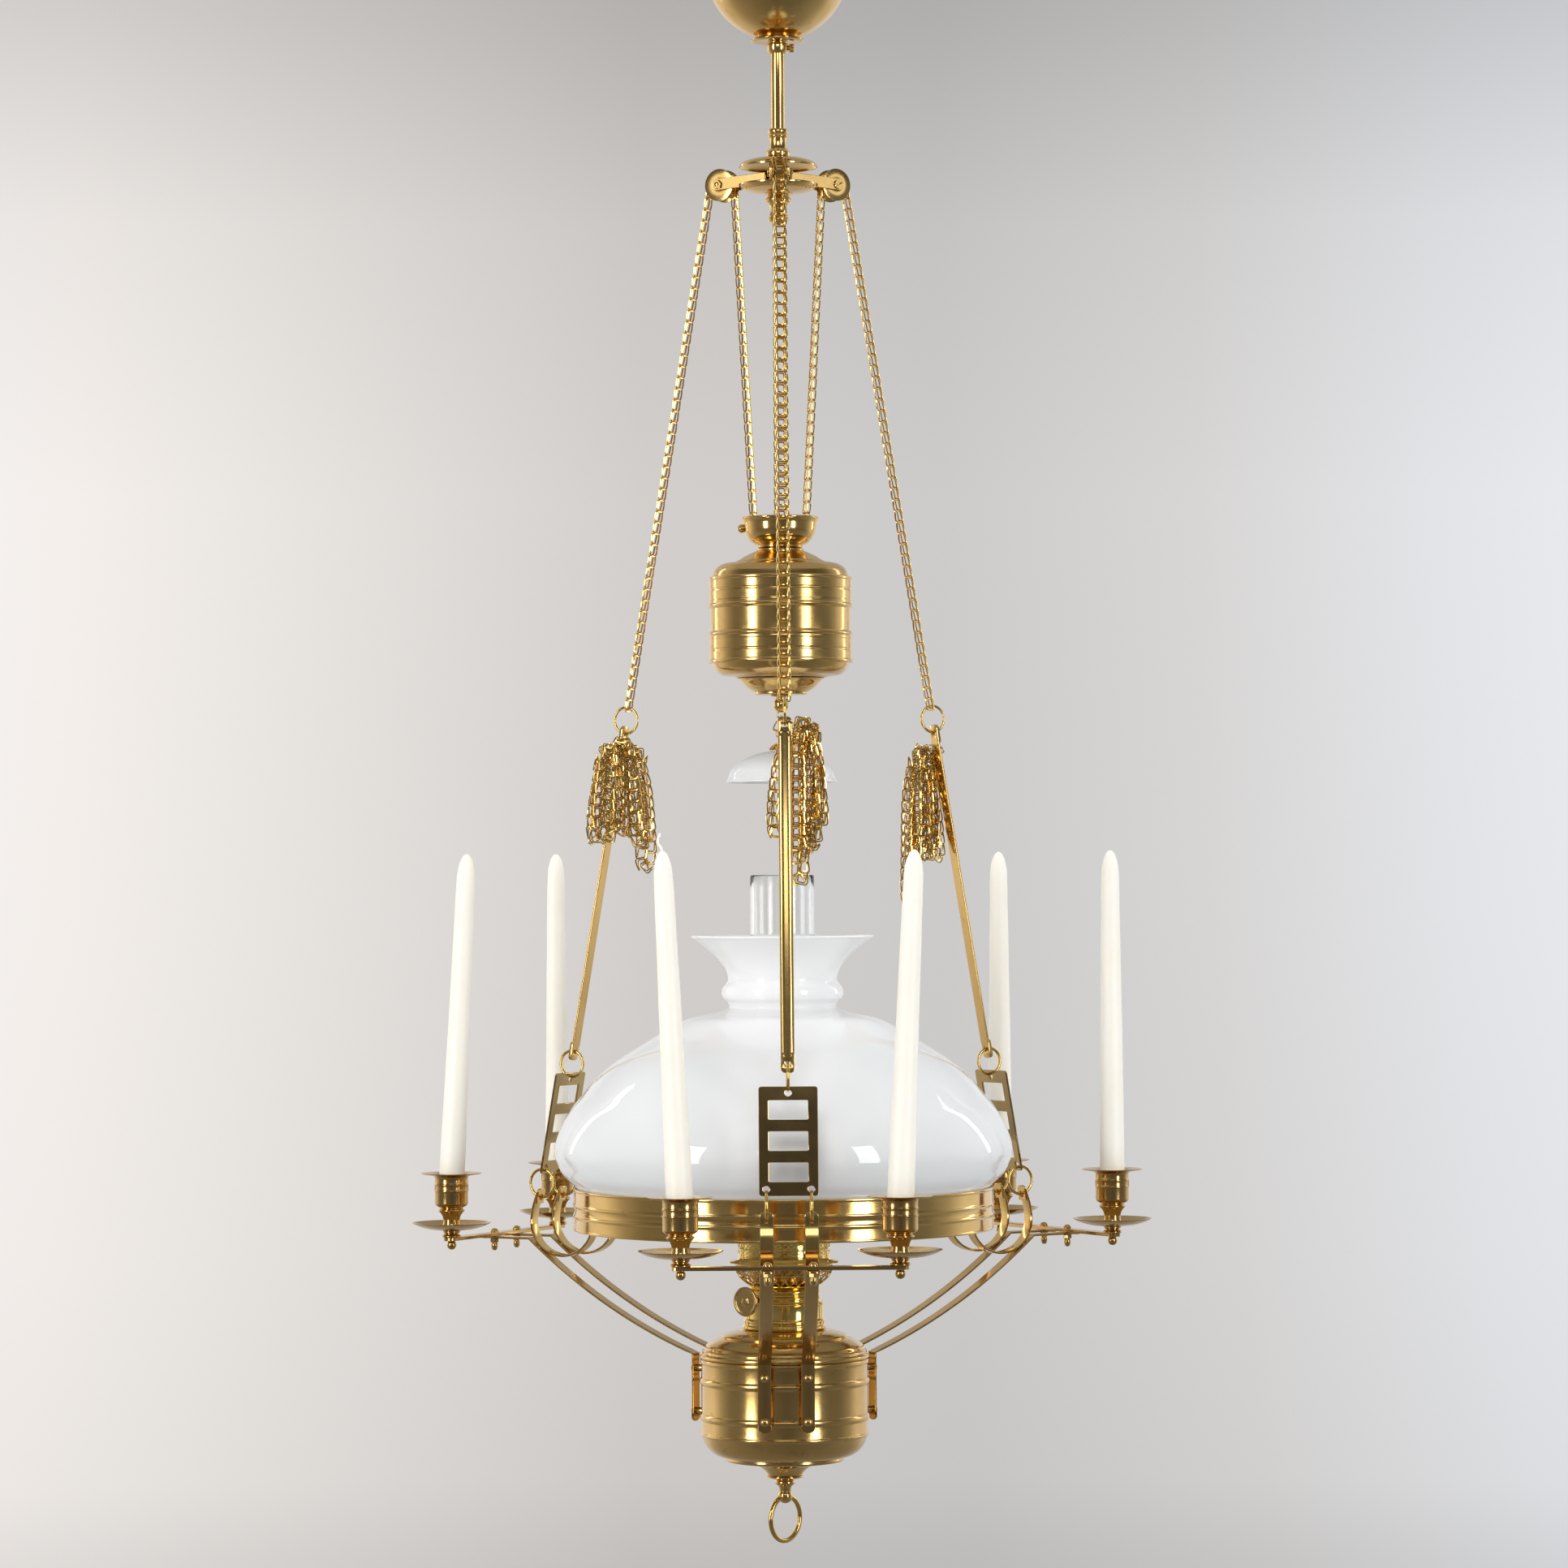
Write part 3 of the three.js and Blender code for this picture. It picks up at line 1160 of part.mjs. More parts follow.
function fontParts() {
  const top = HOLDER_TOP;
  const straightBottom = top - HOLDER_HEIGHT;
  const bottom = straightBottom - HOLDER_BOWL_HEIGHT;
  const outer = HOLDER_RADIUS;
  const inner = HOLDER_RADIUS - SHEET;
  const beads = HOLDER_BEAD_DROPS.flatMap((drop) => [
    [outer, top - drop - HOLDER_BEAD_HALF],
    [outer + HOLDER_BEAD, top - drop],
    [outer, top - drop + HOLDER_BEAD_HALF],
  ]);
  const floor = bottom + SHEET + 0.4;
  place('font_holder', turned([
    [0, bottom],
    [HOLDER_BOWL_RADIUS, bottom],
    [HOLDER_BOWL_RADIUS, bottom + 4],
    ...arc(HOLDER_BOWL_RADIUS, straightBottom, outer - HOLDER_BOWL_RADIUS, -80, 0, 3, HOLDER_BOWL_HEIGHT - 4),
    ...beads,
    [outer, top],
    [inner, top],
    ...arc(HOLDER_BOWL_RADIUS, straightBottom, inner - HOLDER_BOWL_RADIUS, 0, -70, 2, HOLDER_BOWL_HEIGHT - 5),
    [HOLDER_BOWL_RADIUS - SHEET, floor],
    [0, floor],
  ], HOLDER_SIDES), brass);

  const baseTop = bottom - GAP;
  const cone = BASE_CONE_RADIUS;
  const ballCentre = baseTop - BASE_LENGTH + 6;
  const base = turned([
    [0, baseTop],
    [cone, baseTop],
    [cone, baseTop - 1],
    [cone * 0.53, baseTop - 11],
    [cone * 0.53 + 1, baseTop - 14],
    [BASE_NECK + 1, baseTop - 18],
    [BASE_NECK - 2, baseTop - 21],
    ...arc(0, ballCentre, 6, 50, -90, 4),
  ], 12);
  const ringHole = pin(PULL_RING_WIRE / 2 + 3.5 * GAP, -9, 9, 10)
    .rotateY(Math.PI / 2)
    .rotateZ(THREE.MathUtils.degToRad(PULL_RING_TURN))
    .translate(0, 0, ballCentre - 1.5 * GAP);
  place('holder_base', cut(base, ringHole), brass);

  const pullMean = PULL_RING_RADIUS - PULL_RING_WIRE / 2;
  place('pull_ring', pullRing(ballCentre, pullMean), brass);

  const rim = top + GAP;
  const wall = SHEET + 0.3;
  const body = inner - 0.8;
  const fontRim = FONT_RIM_RADIUS;
  const fontTop = rim + 6 + FONT_DOME_HEIGHT;
  const mouth = BURNER_THREAD + 2 * GAP;
  place('oil_font', turned([
    [0, rim - FONT_DEPTH],
    [body - 16, rim - FONT_DEPTH],
    [body, rim - FONT_DEPTH + 14],
    [body, rim],
    [fontRim, rim],
    [fontRim, rim + 3.5],
    [fontRim - 2, rim + 6],
    [fontRim - 8, rim + 13.5],
    [FONT_STEP_RADIUS + 1.5, rim + 17.5],
    [FONT_STEP_RADIUS, rim + 19.5],
    [BURNER_FOOT_RADIUS + 1, fontTop],
    [mouth, fontTop],
    [mouth, fontTop - 2],
    [FONT_STEP_RADIUS, rim + 17],
    [fontRim - 9.5, rim + 12],
    [body - wall, rim],
    [body - wall, rim - FONT_DEPTH + 14],
    [body - 17, rim - FONT_DEPTH + wall],
    [0, rim - FONT_DEPTH + wall],
  ], HOLDER_SIDES), brass);

  return fontTop;
}

// A round wire ring through the ball, open below, turned out of the plane of the picture
function pullRing(ballCentre, mean) {
  return ring(PULL_RING_RADIUS, PULL_RING_WIRE, 16, 6)
    .rotateZ(THREE.MathUtils.degToRad(PULL_RING_TURN))
    .translate(0, 0, ballCentre - mean);
}

function burnerParts(fontTop) {
  const foot = fontTop + GAP;
  const top = foot + BURNER_HEIGHT;
  const bore = WICK_RADIUS + GAP;
  const thread = foot - BURNER_THREAD_LENGTH;
  const body = turned([
    [bore, thread],
    [BURNER_THREAD, thread],
    [BURNER_THREAD, foot],
    [BURNER_FOOT_RADIUS, foot],
    [BURNER_FOOT_RADIUS, foot + 8],
    [BURNER_BODY_RADIUS, foot + 9],
    [BURNER_BODY_RADIUS, foot + 21.5],
    [BURNER_RING_RADIUS, foot + 23],
    [BURNER_RING_RADIUS, foot + 28],
    [BURNER_RING_RADIUS - 2, foot + 30],
    [BURNER_RING_RADIUS, foot + 32],
    [BURNER_RING_RADIUS - 3, foot + 36],
    ...arc(BASKET_RADIUS - 12, foot + 49, 12, -70, 10, 2),
    [BASKET_RADIUS, top - 0.5],
    [BASKET_RADIUS - SHEET, top - 0.5],
    [BURNER_INSIDE, foot + 37],
    [BURNER_INSIDE, foot + SHEET],
    [WICK_TUBE, foot + SHEET],
    [WICK_TUBE, top + WICK_TUBE_HEIGHT],
    [bore, top + WICK_TUBE_HEIGHT],
  ], 14);
  const shaftLevel = foot + 26.2;
  const towards = THREE.MathUtils.degToRad(KNOB_AZIMUTH);
  const shaftHole = pin(KNOB_SHAFT + GAP, 20, BURNER_BODY_RADIUS + 4, 8)
    .rotateY(Math.PI / 2)
    .rotateZ(towards)
    .translate(0, 0, shaftLevel);
  place('burner', cut(body, shaftHole), brass);

  const knob = turned([
    [0, 20 + GAP],
    [KNOB_SHAFT, 20 + GAP],
    [KNOB_SHAFT, KNOB_REACH - KNOB_THICKNESS],
    [KNOB_RADIUS, KNOB_REACH - KNOB_THICKNESS],
    [KNOB_RADIUS, KNOB_REACH],
    [0, KNOB_REACH],
  ], 14).rotateY(Math.PI / 2).rotateZ(towards).translate(0, 0, shaftLevel);
  place('wick_knob', knob, darkBrass);

  const wickTop = top + WICK_TUBE_HEIGHT + 2;
  place('wick', turned([
    [WICK_RADIUS - WICK_WALL, wickTop - WICK_LENGTH],
    [WICK_RADIUS, wickTop - WICK_LENGTH],
    [WICK_RADIUS, wickTop],
    [WICK_RADIUS - WICK_WALL, wickTop],
  ], 12), cotton);

  const plateBottom = top - 0.5 + GAP;
  const plateTop = plateBottom + 1.4;
  const holderInside = CHIMNEY_BASE + 3 * GAP;
  const galleryTop = plateBottom + GALLERY_HEIGHT;
  place('chimney_gallery', turned([
    [WICK_TUBE + GAP, plateBottom],
    [GALLERY_FLANGE, plateBottom],
    [GALLERY_FLANGE, plateBottom + 0.9],
    [GALLERY_RADIUS, plateTop + 1.6],
    [GALLERY_RADIUS, galleryTop],
    [GALLERY_RADIUS - 1, galleryTop],
    [GALLERY_RADIUS - 1, plateTop + 0.6],
    [holderInside + 1.2, plateTop + 0.6],
    [holderInside + 1.2, galleryTop - 4],
    [holderInside, galleryTop - 4],
    [holderInside, plateTop],
    [WICK_TUBE + GAP, plateTop],
  ], 16), brass);

  const chimneyBottom = plateTop + GAP;
  const chimneyTop = chimneyBottom + CHIMNEY_LENGTH;
  const w = CHIMNEY_WALL;
  place('chimney', turned([
    [CHIMNEY_BASE, chimneyBottom],
    [CHIMNEY_BASE, chimneyBottom + 22],
    [CHIMNEY_WAIST, chimneyBottom + 36],
    [CHIMNEY_RADIUS, chimneyBottom + 54],
    [CHIMNEY_RADIUS, chimneyTop],
    [CHIMNEY_RADIUS - w, chimneyTop],
    [CHIMNEY_RADIUS - w, chimneyBottom + 54],
    [CHIMNEY_WAIST - w, chimneyBottom + 36],
    [CHIMNEY_BASE - w, chimneyBottom + 21],
    [CHIMNEY_BASE - w, chimneyBottom],
  ], 16), clearGlass);
}

ceilingParts();
stemParts();
hubParts();
LEGS.forEach(pulleyParts);
LEGS.forEach(lineParts);
LEGS.forEach(armParts);
LEGS.forEach(candleBarParts);
bellParts(weightParts());
shadeParts();
burnerParts(fontParts());

export default lamp;
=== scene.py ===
"""A hanging kerosene lamp of polished brass: the fine surfaces, materials, light and camera."""
import math
import random

import bpy
import bmesh
from mathutils import Matrix, Vector


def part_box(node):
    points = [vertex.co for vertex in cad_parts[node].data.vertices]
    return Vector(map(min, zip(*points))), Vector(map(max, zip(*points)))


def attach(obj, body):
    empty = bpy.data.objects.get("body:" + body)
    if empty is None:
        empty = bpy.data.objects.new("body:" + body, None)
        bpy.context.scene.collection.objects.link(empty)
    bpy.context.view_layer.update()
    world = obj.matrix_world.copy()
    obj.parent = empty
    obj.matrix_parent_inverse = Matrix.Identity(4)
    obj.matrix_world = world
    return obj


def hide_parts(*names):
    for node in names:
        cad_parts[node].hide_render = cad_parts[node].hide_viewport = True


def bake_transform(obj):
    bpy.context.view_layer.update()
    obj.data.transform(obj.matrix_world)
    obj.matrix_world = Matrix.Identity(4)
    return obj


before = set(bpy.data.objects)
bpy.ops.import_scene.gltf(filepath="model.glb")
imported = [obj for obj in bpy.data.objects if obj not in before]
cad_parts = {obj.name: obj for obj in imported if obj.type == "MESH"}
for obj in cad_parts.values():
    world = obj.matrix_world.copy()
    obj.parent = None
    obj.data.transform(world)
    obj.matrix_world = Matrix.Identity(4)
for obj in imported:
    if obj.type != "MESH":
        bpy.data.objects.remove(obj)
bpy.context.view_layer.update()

MM = 0.001
scene = bpy.context.scene
LEGS = {"front": -90.0, "left": 150.0, "right": 30.0}  # the direction of each leg about the axis, in degrees


# Materials

def set_inputs(node, **values):
    """Sets a node's inputs by name, with an underscore for each space."""
    for name, value in values.items():
        node.inputs[name.replace("_", " ")].default_value = value


def new_material(name, **values):
    material = bpy.data.materials.new(name)
    material.use_nodes = True
    tree = material.node_tree
    shader = tree.nodes["Principled BSDF"]
    set_inputs(shader, **values)
    return material, tree, shader


def link(tree, source, target):
    tree.links.new(source, target)


def noise(tree, vector, scale, detail=4.0, roughness=0.55, distortion=0.0):
    node = tree.nodes.new("ShaderNodeTexNoise")
    set_inputs(node, Scale=scale, Detail=detail, Roughness=roughness, Distortion=distortion)
    link(tree, vector, node.inputs["Vector"])
    return node.outputs["Fac"]


def ramp(tree, factor, stops):
    node = tree.nodes.new("ShaderNodeValToRGB")
    elements = node.color_ramp.elements
    while len(elements) < len(stops):
        elements.new(0.5)
    for element, (position, value) in zip(elements, stops):
        element.position = position
        element.color = (*value, 1.0) if hasattr(value, "__len__") else (value, value, value, 1.0)
    link(tree, factor, node.inputs["Fac"])
    return node.outputs["Color"]


def mix(tree, factor, first, second, kind="MIX"):
    node = tree.nodes.new("ShaderNodeMix")
    node.data_type = "RGBA"
    node.blend_type = kind
    for socket, value in ((0, factor), (6, first), (7, second)):
        if hasattr(value, "is_output"):
            link(tree, value, node.inputs[socket])
        elif hasattr(value, "__len__"):
            node.inputs[socket].default_value = (*value, 1.0)
        else:
            node.inputs[socket].default_value = value
    return node.outputs[2]


def object_vector(tree, scale=(1.0, 1.0, 1.0)):
    coordinates = tree.nodes.new("ShaderNodeTexCoord")
    mapping = tree.nodes.new("ShaderNodeMapping")
    set_inputs(mapping, Scale=scale)
    link(tree, coordinates.outputs["Object"], mapping.inputs["Vector"])
    return mapping.outputs["Vector"]


def separate(tree, vector):
    parts = tree.nodes.new("ShaderNodeSeparateXYZ")
    link(tree, vector, parts.inputs[0])
    return parts.outputs


def mapped(tree, value, start, end):
    """A value's place between start and end, from 0 to 1."""
    node = tree.nodes.new("ShaderNodeMapRange")
    set_inputs(node, From_Min=start, From_Max=end)
    link(tree, value, node.inputs["Value"])
    return node.outputs[0]


def bump(tree, shader, height, strength, distance):
    node = tree.nodes.new("ShaderNodeBump")
    set_inputs(node, Strength=strength, Distance=distance)
    link(tree, height, node.inputs["Height"])
    link(tree, node.outputs["Normal"], shader.inputs["Normal"])


def brass(name, bright, worn, patina, rough, patches, lines=0.0):
    """Old polished brass: a warm base, tarnish clouds, small dark spots, fine turning lines."""
    material, tree, shader = new_material(name, Metallic=1.0)
    vector = object_vector(tree)
    clouds = noise(tree, vector, 11.0, 6.0, 0.62, 0.4)
    spots = noise(tree, vector, 85.0, 5.0, 0.7)
    turning = noise(tree, object_vector(tree, (4.0, 4.0, 900.0)), 3.0, 3.0, 0.6)
    tone = ramp(tree, clouds, [(0.3, bright), (0.72, worn)])
    spotted = ramp(tree, spots, [(0.58, 0.0), (0.8, patches)])
    link(tree, mix(tree, spotted, tone, patina), shader.inputs["Base Color"])
    spread = mix(tree, lines, mix(tree, 0.5, clouds, spots), turning)
    low_rough, high_rough = rough
    link(tree, ramp(tree, spread, [(0.35, low_rough), (0.7, high_rough)]), shader.inputs["Roughness"])
    bump(tree, shader, noise(tree, vector, 22.0, 2.0), 0.1, 0.0005)
    return material


polished = brass("fine_polished_brass", (0.85, 0.58, 0.22), (0.73, 0.47, 0.15), (0.36, 0.20, 0.07),
                 (0.08, 0.18), 0.4, 0.2)
spun = brass("fine_spun_brass", (0.81, 0.55, 0.21), (0.66, 0.42, 0.14), (0.34, 0.19, 0.07),
             (0.11, 0.24), 0.5, 0.4)
cast = brass("fine_cast_brass", (0.80, 0.55, 0.21), (0.66, 0.43, 0.15), (0.30, 0.17, 0.06),
             (0.13, 0.24), 0.3)
aged = brass("fine_aged_brass", (0.68, 0.45, 0.17), (0.54, 0.34, 0.12), (0.26, 0.15, 0.06),
             (0.13, 0.24), 0.35)
wire_brass = brass("fine_wire_brass", (0.88, 0.62, 0.20), (0.78, 0.52, 0.15), (0.42, 0.25, 0.07),
                   (0.10, 0.19), 0.25)
# A darker brass for the ladder plates: painted shade for the dark that they mirror.
plate_brass_painted_shade = brass("fine_plate_brass", (0.52, 0.37, 0.16), (0.42, 0.28, 0.11), (0.24, 0.14, 0.06),
                    (0.05, 0.11), 0.3)
# A yellower, brighter brass for the burner: partly its own colour, partly painted light that brightens it in
# the shade under the shade ring.
lemon_brass_and_painted_light = brass("fine_lemon_brass", (0.94, 0.69, 0.22), (0.87, 0.60, 0.17), (0.44, 0.26, 0.08),
              (0.07, 0.15), 0.2)

# Levels between which the shade's colour goes from the dome's to the neck's; the paler neck is painted light.
SHOULDER_LEVEL, NECK_LEVEL = -0.93, -0.89  # where the shade's dome ends and its neck begins, in metres
COOL = 0.006  # how much more green and blue than red the glass has


def opal_glass(name, dome, neck):
    """White glass whose base colour goes from the dome's to the neck's between the shoulder and the neck; the
    shade's paler neck is painted light.
    """
    material, tree, shader = new_material(
        name, Roughness=0.0, IOR=1.52, Subsurface_Weight=0.25, Subsurface_Radius=(0.012, 0.012, 0.012),
        Subsurface_Scale=0.5)
    vector = object_vector(tree)
    height = mapped(tree, separate(tree, vector)["Z"], SHOULDER_LEVEL, NECK_LEVEL)
    # Painted light: the base colour runs from the dome's up to the neck's, paler on the shade.
    tone = ramp(tree, height, [(0.0, (dome, dome + COOL, dome + COOL)), (1.0, neck)])
    clouds = ramp(tree, noise(tree, vector, 6.0, 3.0), [(0.3, 0.97), (0.7, 1.0)])
    link(tree, mix(tree, 1.0, tone, clouds, "MULTIPLY"), shader.inputs["Base Color"])
    bump(tree, shader, noise(tree, vector, 14.0, 1.0), 0.03, 0.001)
    return material


def candle_wax():
    material, tree, shader = new_material(
        "fine_candle_wax", Roughness=0.42, Subsurface_Weight=0.3, Subsurface_Radius=(0.006, 0.004, 0.0025),
        Subsurface_Scale=1.0)
    clouds = noise(tree, object_vector(tree), 18.0, 4.0)
    link(tree, ramp(tree, clouds, [(0.3, (0.96, 0.90, 0.79)), (0.7, (0.98, 0.93, 0.84))]),
         shader.inputs["Base Color"])
    bump(tree, shader, noise(tree, object_vector(tree, (1.0, 1.0, 0.15)), 160.0, 3.0), 0.12, 0.0005)
    return material


def grained(name, grain_scale, stretch, detail, stops, strength, distance, **values):
    """A matt surface whose colour and relief follow one noise: the wick's cotton, the ballast's iron."""
    material, tree, shader = new_material(name, **values)
    grain = noise(tree, object_vector(tree, (1.0, 1.0, stretch)), grain_scale, detail)
    link(tree, ramp(tree, grain, stops), shader.inputs["Base Color"])
    bump(tree, shader, grain, strength, distance)
    return material


# The shade's neck is painted paler than its dome, as painted light; the bell's glass keeps one colour.
opal_with_painted_neck_light = opal_glass("fine_opal_glass", 0.75, 0.93)
bell_opal = opal_glass("fine_bell_opal", 0.75, 0.75)
clear = new_material("fine_clear_glass", Base_Color=(0.985, 0.995, 0.995, 1.0), Transmission_Weight=1.0,
                     Roughness=0.0, IOR=1.35)[0]
wax = candle_wax()
wick_cotton = grained("fine_wick_cotton", 900.0, 0.4, 2.0, [
    (0.35, (0.62, 0.58, 0.5)), (0.65, (0.86, 0.83, 0.75))], 0.5, 0.0004, Roughness=0.95)
ballast_iron = grained("fine_ballast_iron", 140.0, 1.0, 5.0, [
    (0.3, (0.12, 0.12, 0.12)), (0.7, (0.22, 0.21, 0.2))], 0.4, 0.0008, Metallic=0.7, Roughness=0.7)


# Shapes, in millimetres

class Shape:
    """A bag of closed shells that become one piece."""

    def __init__(self, points=(), faces=()):
        self.points = [Vector(point) for point in points]
        self.faces = [tuple(face) for face in faces]

    def add(self, other, matrix=None):
        start = len(self.points)
        moved = other.points if matrix is None else [matrix @ point for point in other.points]
        self.points += [point.copy() for point in moved]
        self.faces += [tuple(start + i for i in face) for face in other.faces]
        return self

    def moved(self, matrix):
        return Shape([matrix @ point for point in self.points], self.faces)


PLATE = 18.0  # below this angle, in degrees, a plate's faces are shaded as one
CREASE = 38.0  # a fold sharper than this angle, in degrees, is shaded as an edge
ROUND_CREASE, SHADE_CREASE, GLASS_CREASE = 24.0, 50.0, 60.0


def make(name, shape, material, body, node=None, sharp=CREASE):
    """One piece of the scene, on a body of the frame; it may stand in for a node of the CAD."""
    mesh = bpy.data.meshes.new(name)
    mesh.from_pydata([tuple(point * MM) for point in shape.points], [], shape.faces)
    mesh.validate()
    work = bmesh.new()
    work.from_mesh(mesh)
    bmesh.ops.recalc_face_normals(work, faces=work.faces)
    work.to_mesh(mesh)
    work.free()
    mesh.shade_smooth()
    mesh.set_sharp_from_angle(angle=math.radians(sharp))
    mesh.materials.append(material)
    piece = bpy.data.objects.new(name, mesh)
    scene.collection.objects.link(piece)
    if isinstance(body, str):
        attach(piece, body)
    if node:
        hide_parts(node)
    return piece


def move(x, y, z):
    return Matrix.Translation((x, y, z))


def turn(degrees, axis):
    return Matrix.Rotation(math.radians(degrees), 4, axis)


def arc(radial, level, radius, start, end, steps, height=None):
    height = radius if height is None else height
    points = []
    for i in range(steps + 1):
        angle = math.radians(start + (end - start) * i / steps)
        points.append((radial + radius * math.cos(angle), level + height * math.sin(angle)))
    return points


def shifted(radius, level, *points):
    """Points of an outline that are given as steps from a radius and a level."""
    return [(radius + point[0], level + point[1], *point[2:]) for point in points]


def filleted(points, radius, closed=True, steps=3):
    """Rounds the corners of an outline; a point may carry its own radius as a third value."""
    result = []
    count = len(points)
    for i, point in enumerate(points):
        own = point[2] if len(point) > 2 else radius
        corner = Vector(point[:2])
        if not own or (not closed and i in (0, count - 1)):
            result.append(tuple(corner))
            continue
        before = Vector(points[i - 1][:2]) - corner
        after = Vector(points[(i + 1) % count][:2]) - corner
        if before.length < 1e-6 or after.length < 1e-6 or before.angle(after) > math.radians(172):
            result.append(tuple(corner))
            continue
        first = corner + before.normalized() * min(own, before.length * 0.45)
        second = corner + after.normalized() * min(own, after.length * 0.45)
        for k in range(steps + 1):
            t = k / steps
            spot = first * (1 - t) ** 2 + corner * 2 * t * (1 - t) + second * t ** 2
            result.append(tuple(spot))
    return result


def smooth(points, steps=5, closed=False):
    """A Catmull-Rom curve through points of two or three coordinates."""
    vectors = [Vector(point) for point in points]
    count = len(vectors)
    result = []
    spans = count if closed else count - 1
    for i in range(spans):
        if closed:
            p0, p1, p2, p3 = (vectors[(i + k) % count] for k in (-1, 0, 1, 2))
        else:
            p0, p1, p2, p3 = (vectors[min(max(i + k, 0), count - 1)] for k in (-1, 0, 1, 2))
        for k in range(steps):
            t = k / steps
            result.append(0.5 * ((2 * p1) + (p2 - p0) * t + (2 * p0 - 5 * p1 + 4 * p2 - p3) * t ** 2
                                 + (3 * p1 - p0 - 3 * p2 + p3) * t ** 3))
    if not closed:
        result.append(vectors[-1])
    return [tuple(point) for point in result]


def lathe(outline, steps=96):
    """Revolves an outline of (radius, height); it starts and ends on the axis or closes on itself."""
    on_axis = outline[0][0] < 1e-6 and outline[-1][0] < 1e-6
    points, faces, rings = [], [], []
    for radius, height in (point[:2] for point in outline):
        if radius < 1e-6:
            rings.append([len(points)])
            points.append((0.0, 0.0, height))
            continue
        start = len(points)
        for k in range(steps):
            angle = 2 * math.pi * k / steps
            points.append((radius * math.cos(angle), radius * math.sin(angle), height))
        rings.append(list(range(start, start + steps)))
    pairs = list(zip(rings, rings[1:]))
    if not on_axis:
        pairs.append((rings[-1], rings[0]))
    for low, high in pairs:
        if len(low) == 1 and len(high) == 1:
            continue
        for k in range(steps):
            n = (k + 1) % steps
            if len(low) == 1:
                faces.append((low[0], high[n], high[k]))
            elif len(high) == 1:
                faces.append((low[k], low[n], high[0]))
            else:
                faces.append((low[k], low[n], high[n], high[k]))
    return Shape(points, faces)


def loft(loops, closed=False):
    """Skins loops of as many points each; the two ends are capped, or join when it is closed."""
    size, count = len(loops[0]), len(loops)
    faces = []
    for i in range(count if closed else count - 1):
        a, b = i * size, ((i + 1) % count) * size
        for k in range(size):
            n = (k + 1) % size
            faces.append((a + k, a + n, b + n, b + k))
    if not closed:
        faces.append(tuple(range(size))[::-1])
        faces.append(tuple((count - 1) * size + k for k in range(size)))
    return Shape([point for loop in loops for point in loop], faces)


def sweep(path, section, closed=False, up=None):
    """Carries a closed section along a path; up(tangent) may give the section's second axis."""
    vectors = [Vector(point) for point in path]
    last = len(vectors) - 1
    loops = []
    normal = None
    for i, here in enumerate(vectors):
        if closed:
            tangent = vectors[(i + 1) % len(vectors)] - vectors[i - 1]
        else:
            tangent = vectors[min(i + 1, last)] - vectors[max(i - 1, 0)]
        tangent.normalize()
        if up is not None:
            normal = Vector(up(tangent))
        elif normal is None:
            normal = tangent.orthogonal()
        normal = (normal - tangent * normal.dot(tangent)).normalized()
        side = tangent.cross(normal)
        loops.append([here + side * x + normal * y for x, y in section])
    return loft(loops, closed)


def along_y(tangent):
    return (0, 1, 0)


def circle(radius, sides=10, x=0.0, y=0.0):
    angles = [2 * math.pi * k / sides for k in range(sides)]
    return [(x + radius * math.cos(angle), y + radius * math.sin(angle)) for angle in angles]


def ring(outer, wire, steps=48, sides=12, gap=0.0, gap_at=0.0):
    """A wire ring with its hole along Y; a split ring has a gap, in degrees."""
    mean = outer - wire / 2
    if gap:
        start = gap_at + gap / 2
        path = arc(0, 0, mean, start, start + 360 - gap, steps)
    else:
        path = circle(mean, steps)
    return sweep([(x, 0, z) for x, z in path], circle(wire / 2, sides), not gap, along_y)


def flat_plate(outline, holes, thickness, bevel):
    """A plate in the X-Y plane about z = 0, with holes and softened edges."""
    curve = bpy.data.curves.new("plate", "CURVE")
    curve.dimensions = "2D"
    curve.fill_mode = "BOTH"
    curve.extrude = thickness / 2 - bevel
    curve.bevel_depth = bevel
    curve.bevel_resolution = 1
    curve.offset = -bevel
    for loop in [outline, *holes]:
        spline = curve.splines.new("POLY")
        spline.points.add(len(loop) - 1)
        for target, (x, y) in zip(spline.points, loop):
            target.co = (x, y, 0.0, 1.0)
        spline.use_cyclic_u = True
    holder = bpy.data.objects.new("plate", curve)
    scene.collection.objects.link(holder)
    graph = bpy.context.evaluated_depsgraph_get()
    mesh = bpy.data.meshes.new_from_object(holder.evaluated_get(graph))
    work = bmesh.new()
    work.from_mesh(mesh)
    bmesh.ops.remove_doubles(work, verts=work.verts, dist=0.01)
    work.verts.ensure_lookup_table()
    shape = Shape([v.co.copy() for v in work.verts], [tuple(v.index for v in f.verts) for f in work.faces])
    work.free()
    bpy.data.objects.remove(holder)
    bpy.data.curves.remove(curve)
    bpy.data.meshes.remove(mesh)
    return shape


def rounded_box(width, height, radius, steps=3):
    """The outline of a rounded rectangle about the origin."""
    points = []
    for cx, cy, start in ((1, 1, 0), (-1, 1, 90), (-1, -1, 180), (1, -1, 270)):
        centre_x = cx * (width / 2 - radius)
        centre_y = cy * (height / 2 - radius)
        points += arc(centre_x, centre_y, radius, start, start + 90, steps)
    return points


def dome_screw(radius, height, shank=1.5):
    """A round head on the X-Y plane, open side down the -Z shank."""
    return lathe([(0, -shank), (radius * 0.55, -shank), (radius * 0.55, 0), (radius, 0), (radius, 0.5),
                  *arc(0, 0.5, radius, 0, 90, 8, height - 0.5)[1:-1], (0, height)], 28)


UPRIGHT = turn(90, "Z") @ turn(90, "X")  # stands a plate up: its X goes across the leg, its Y up


def leg(side):
    """Turns the leg's own frame, X outward, into the lamp's."""
    return turn(LEGS[side], "Z")


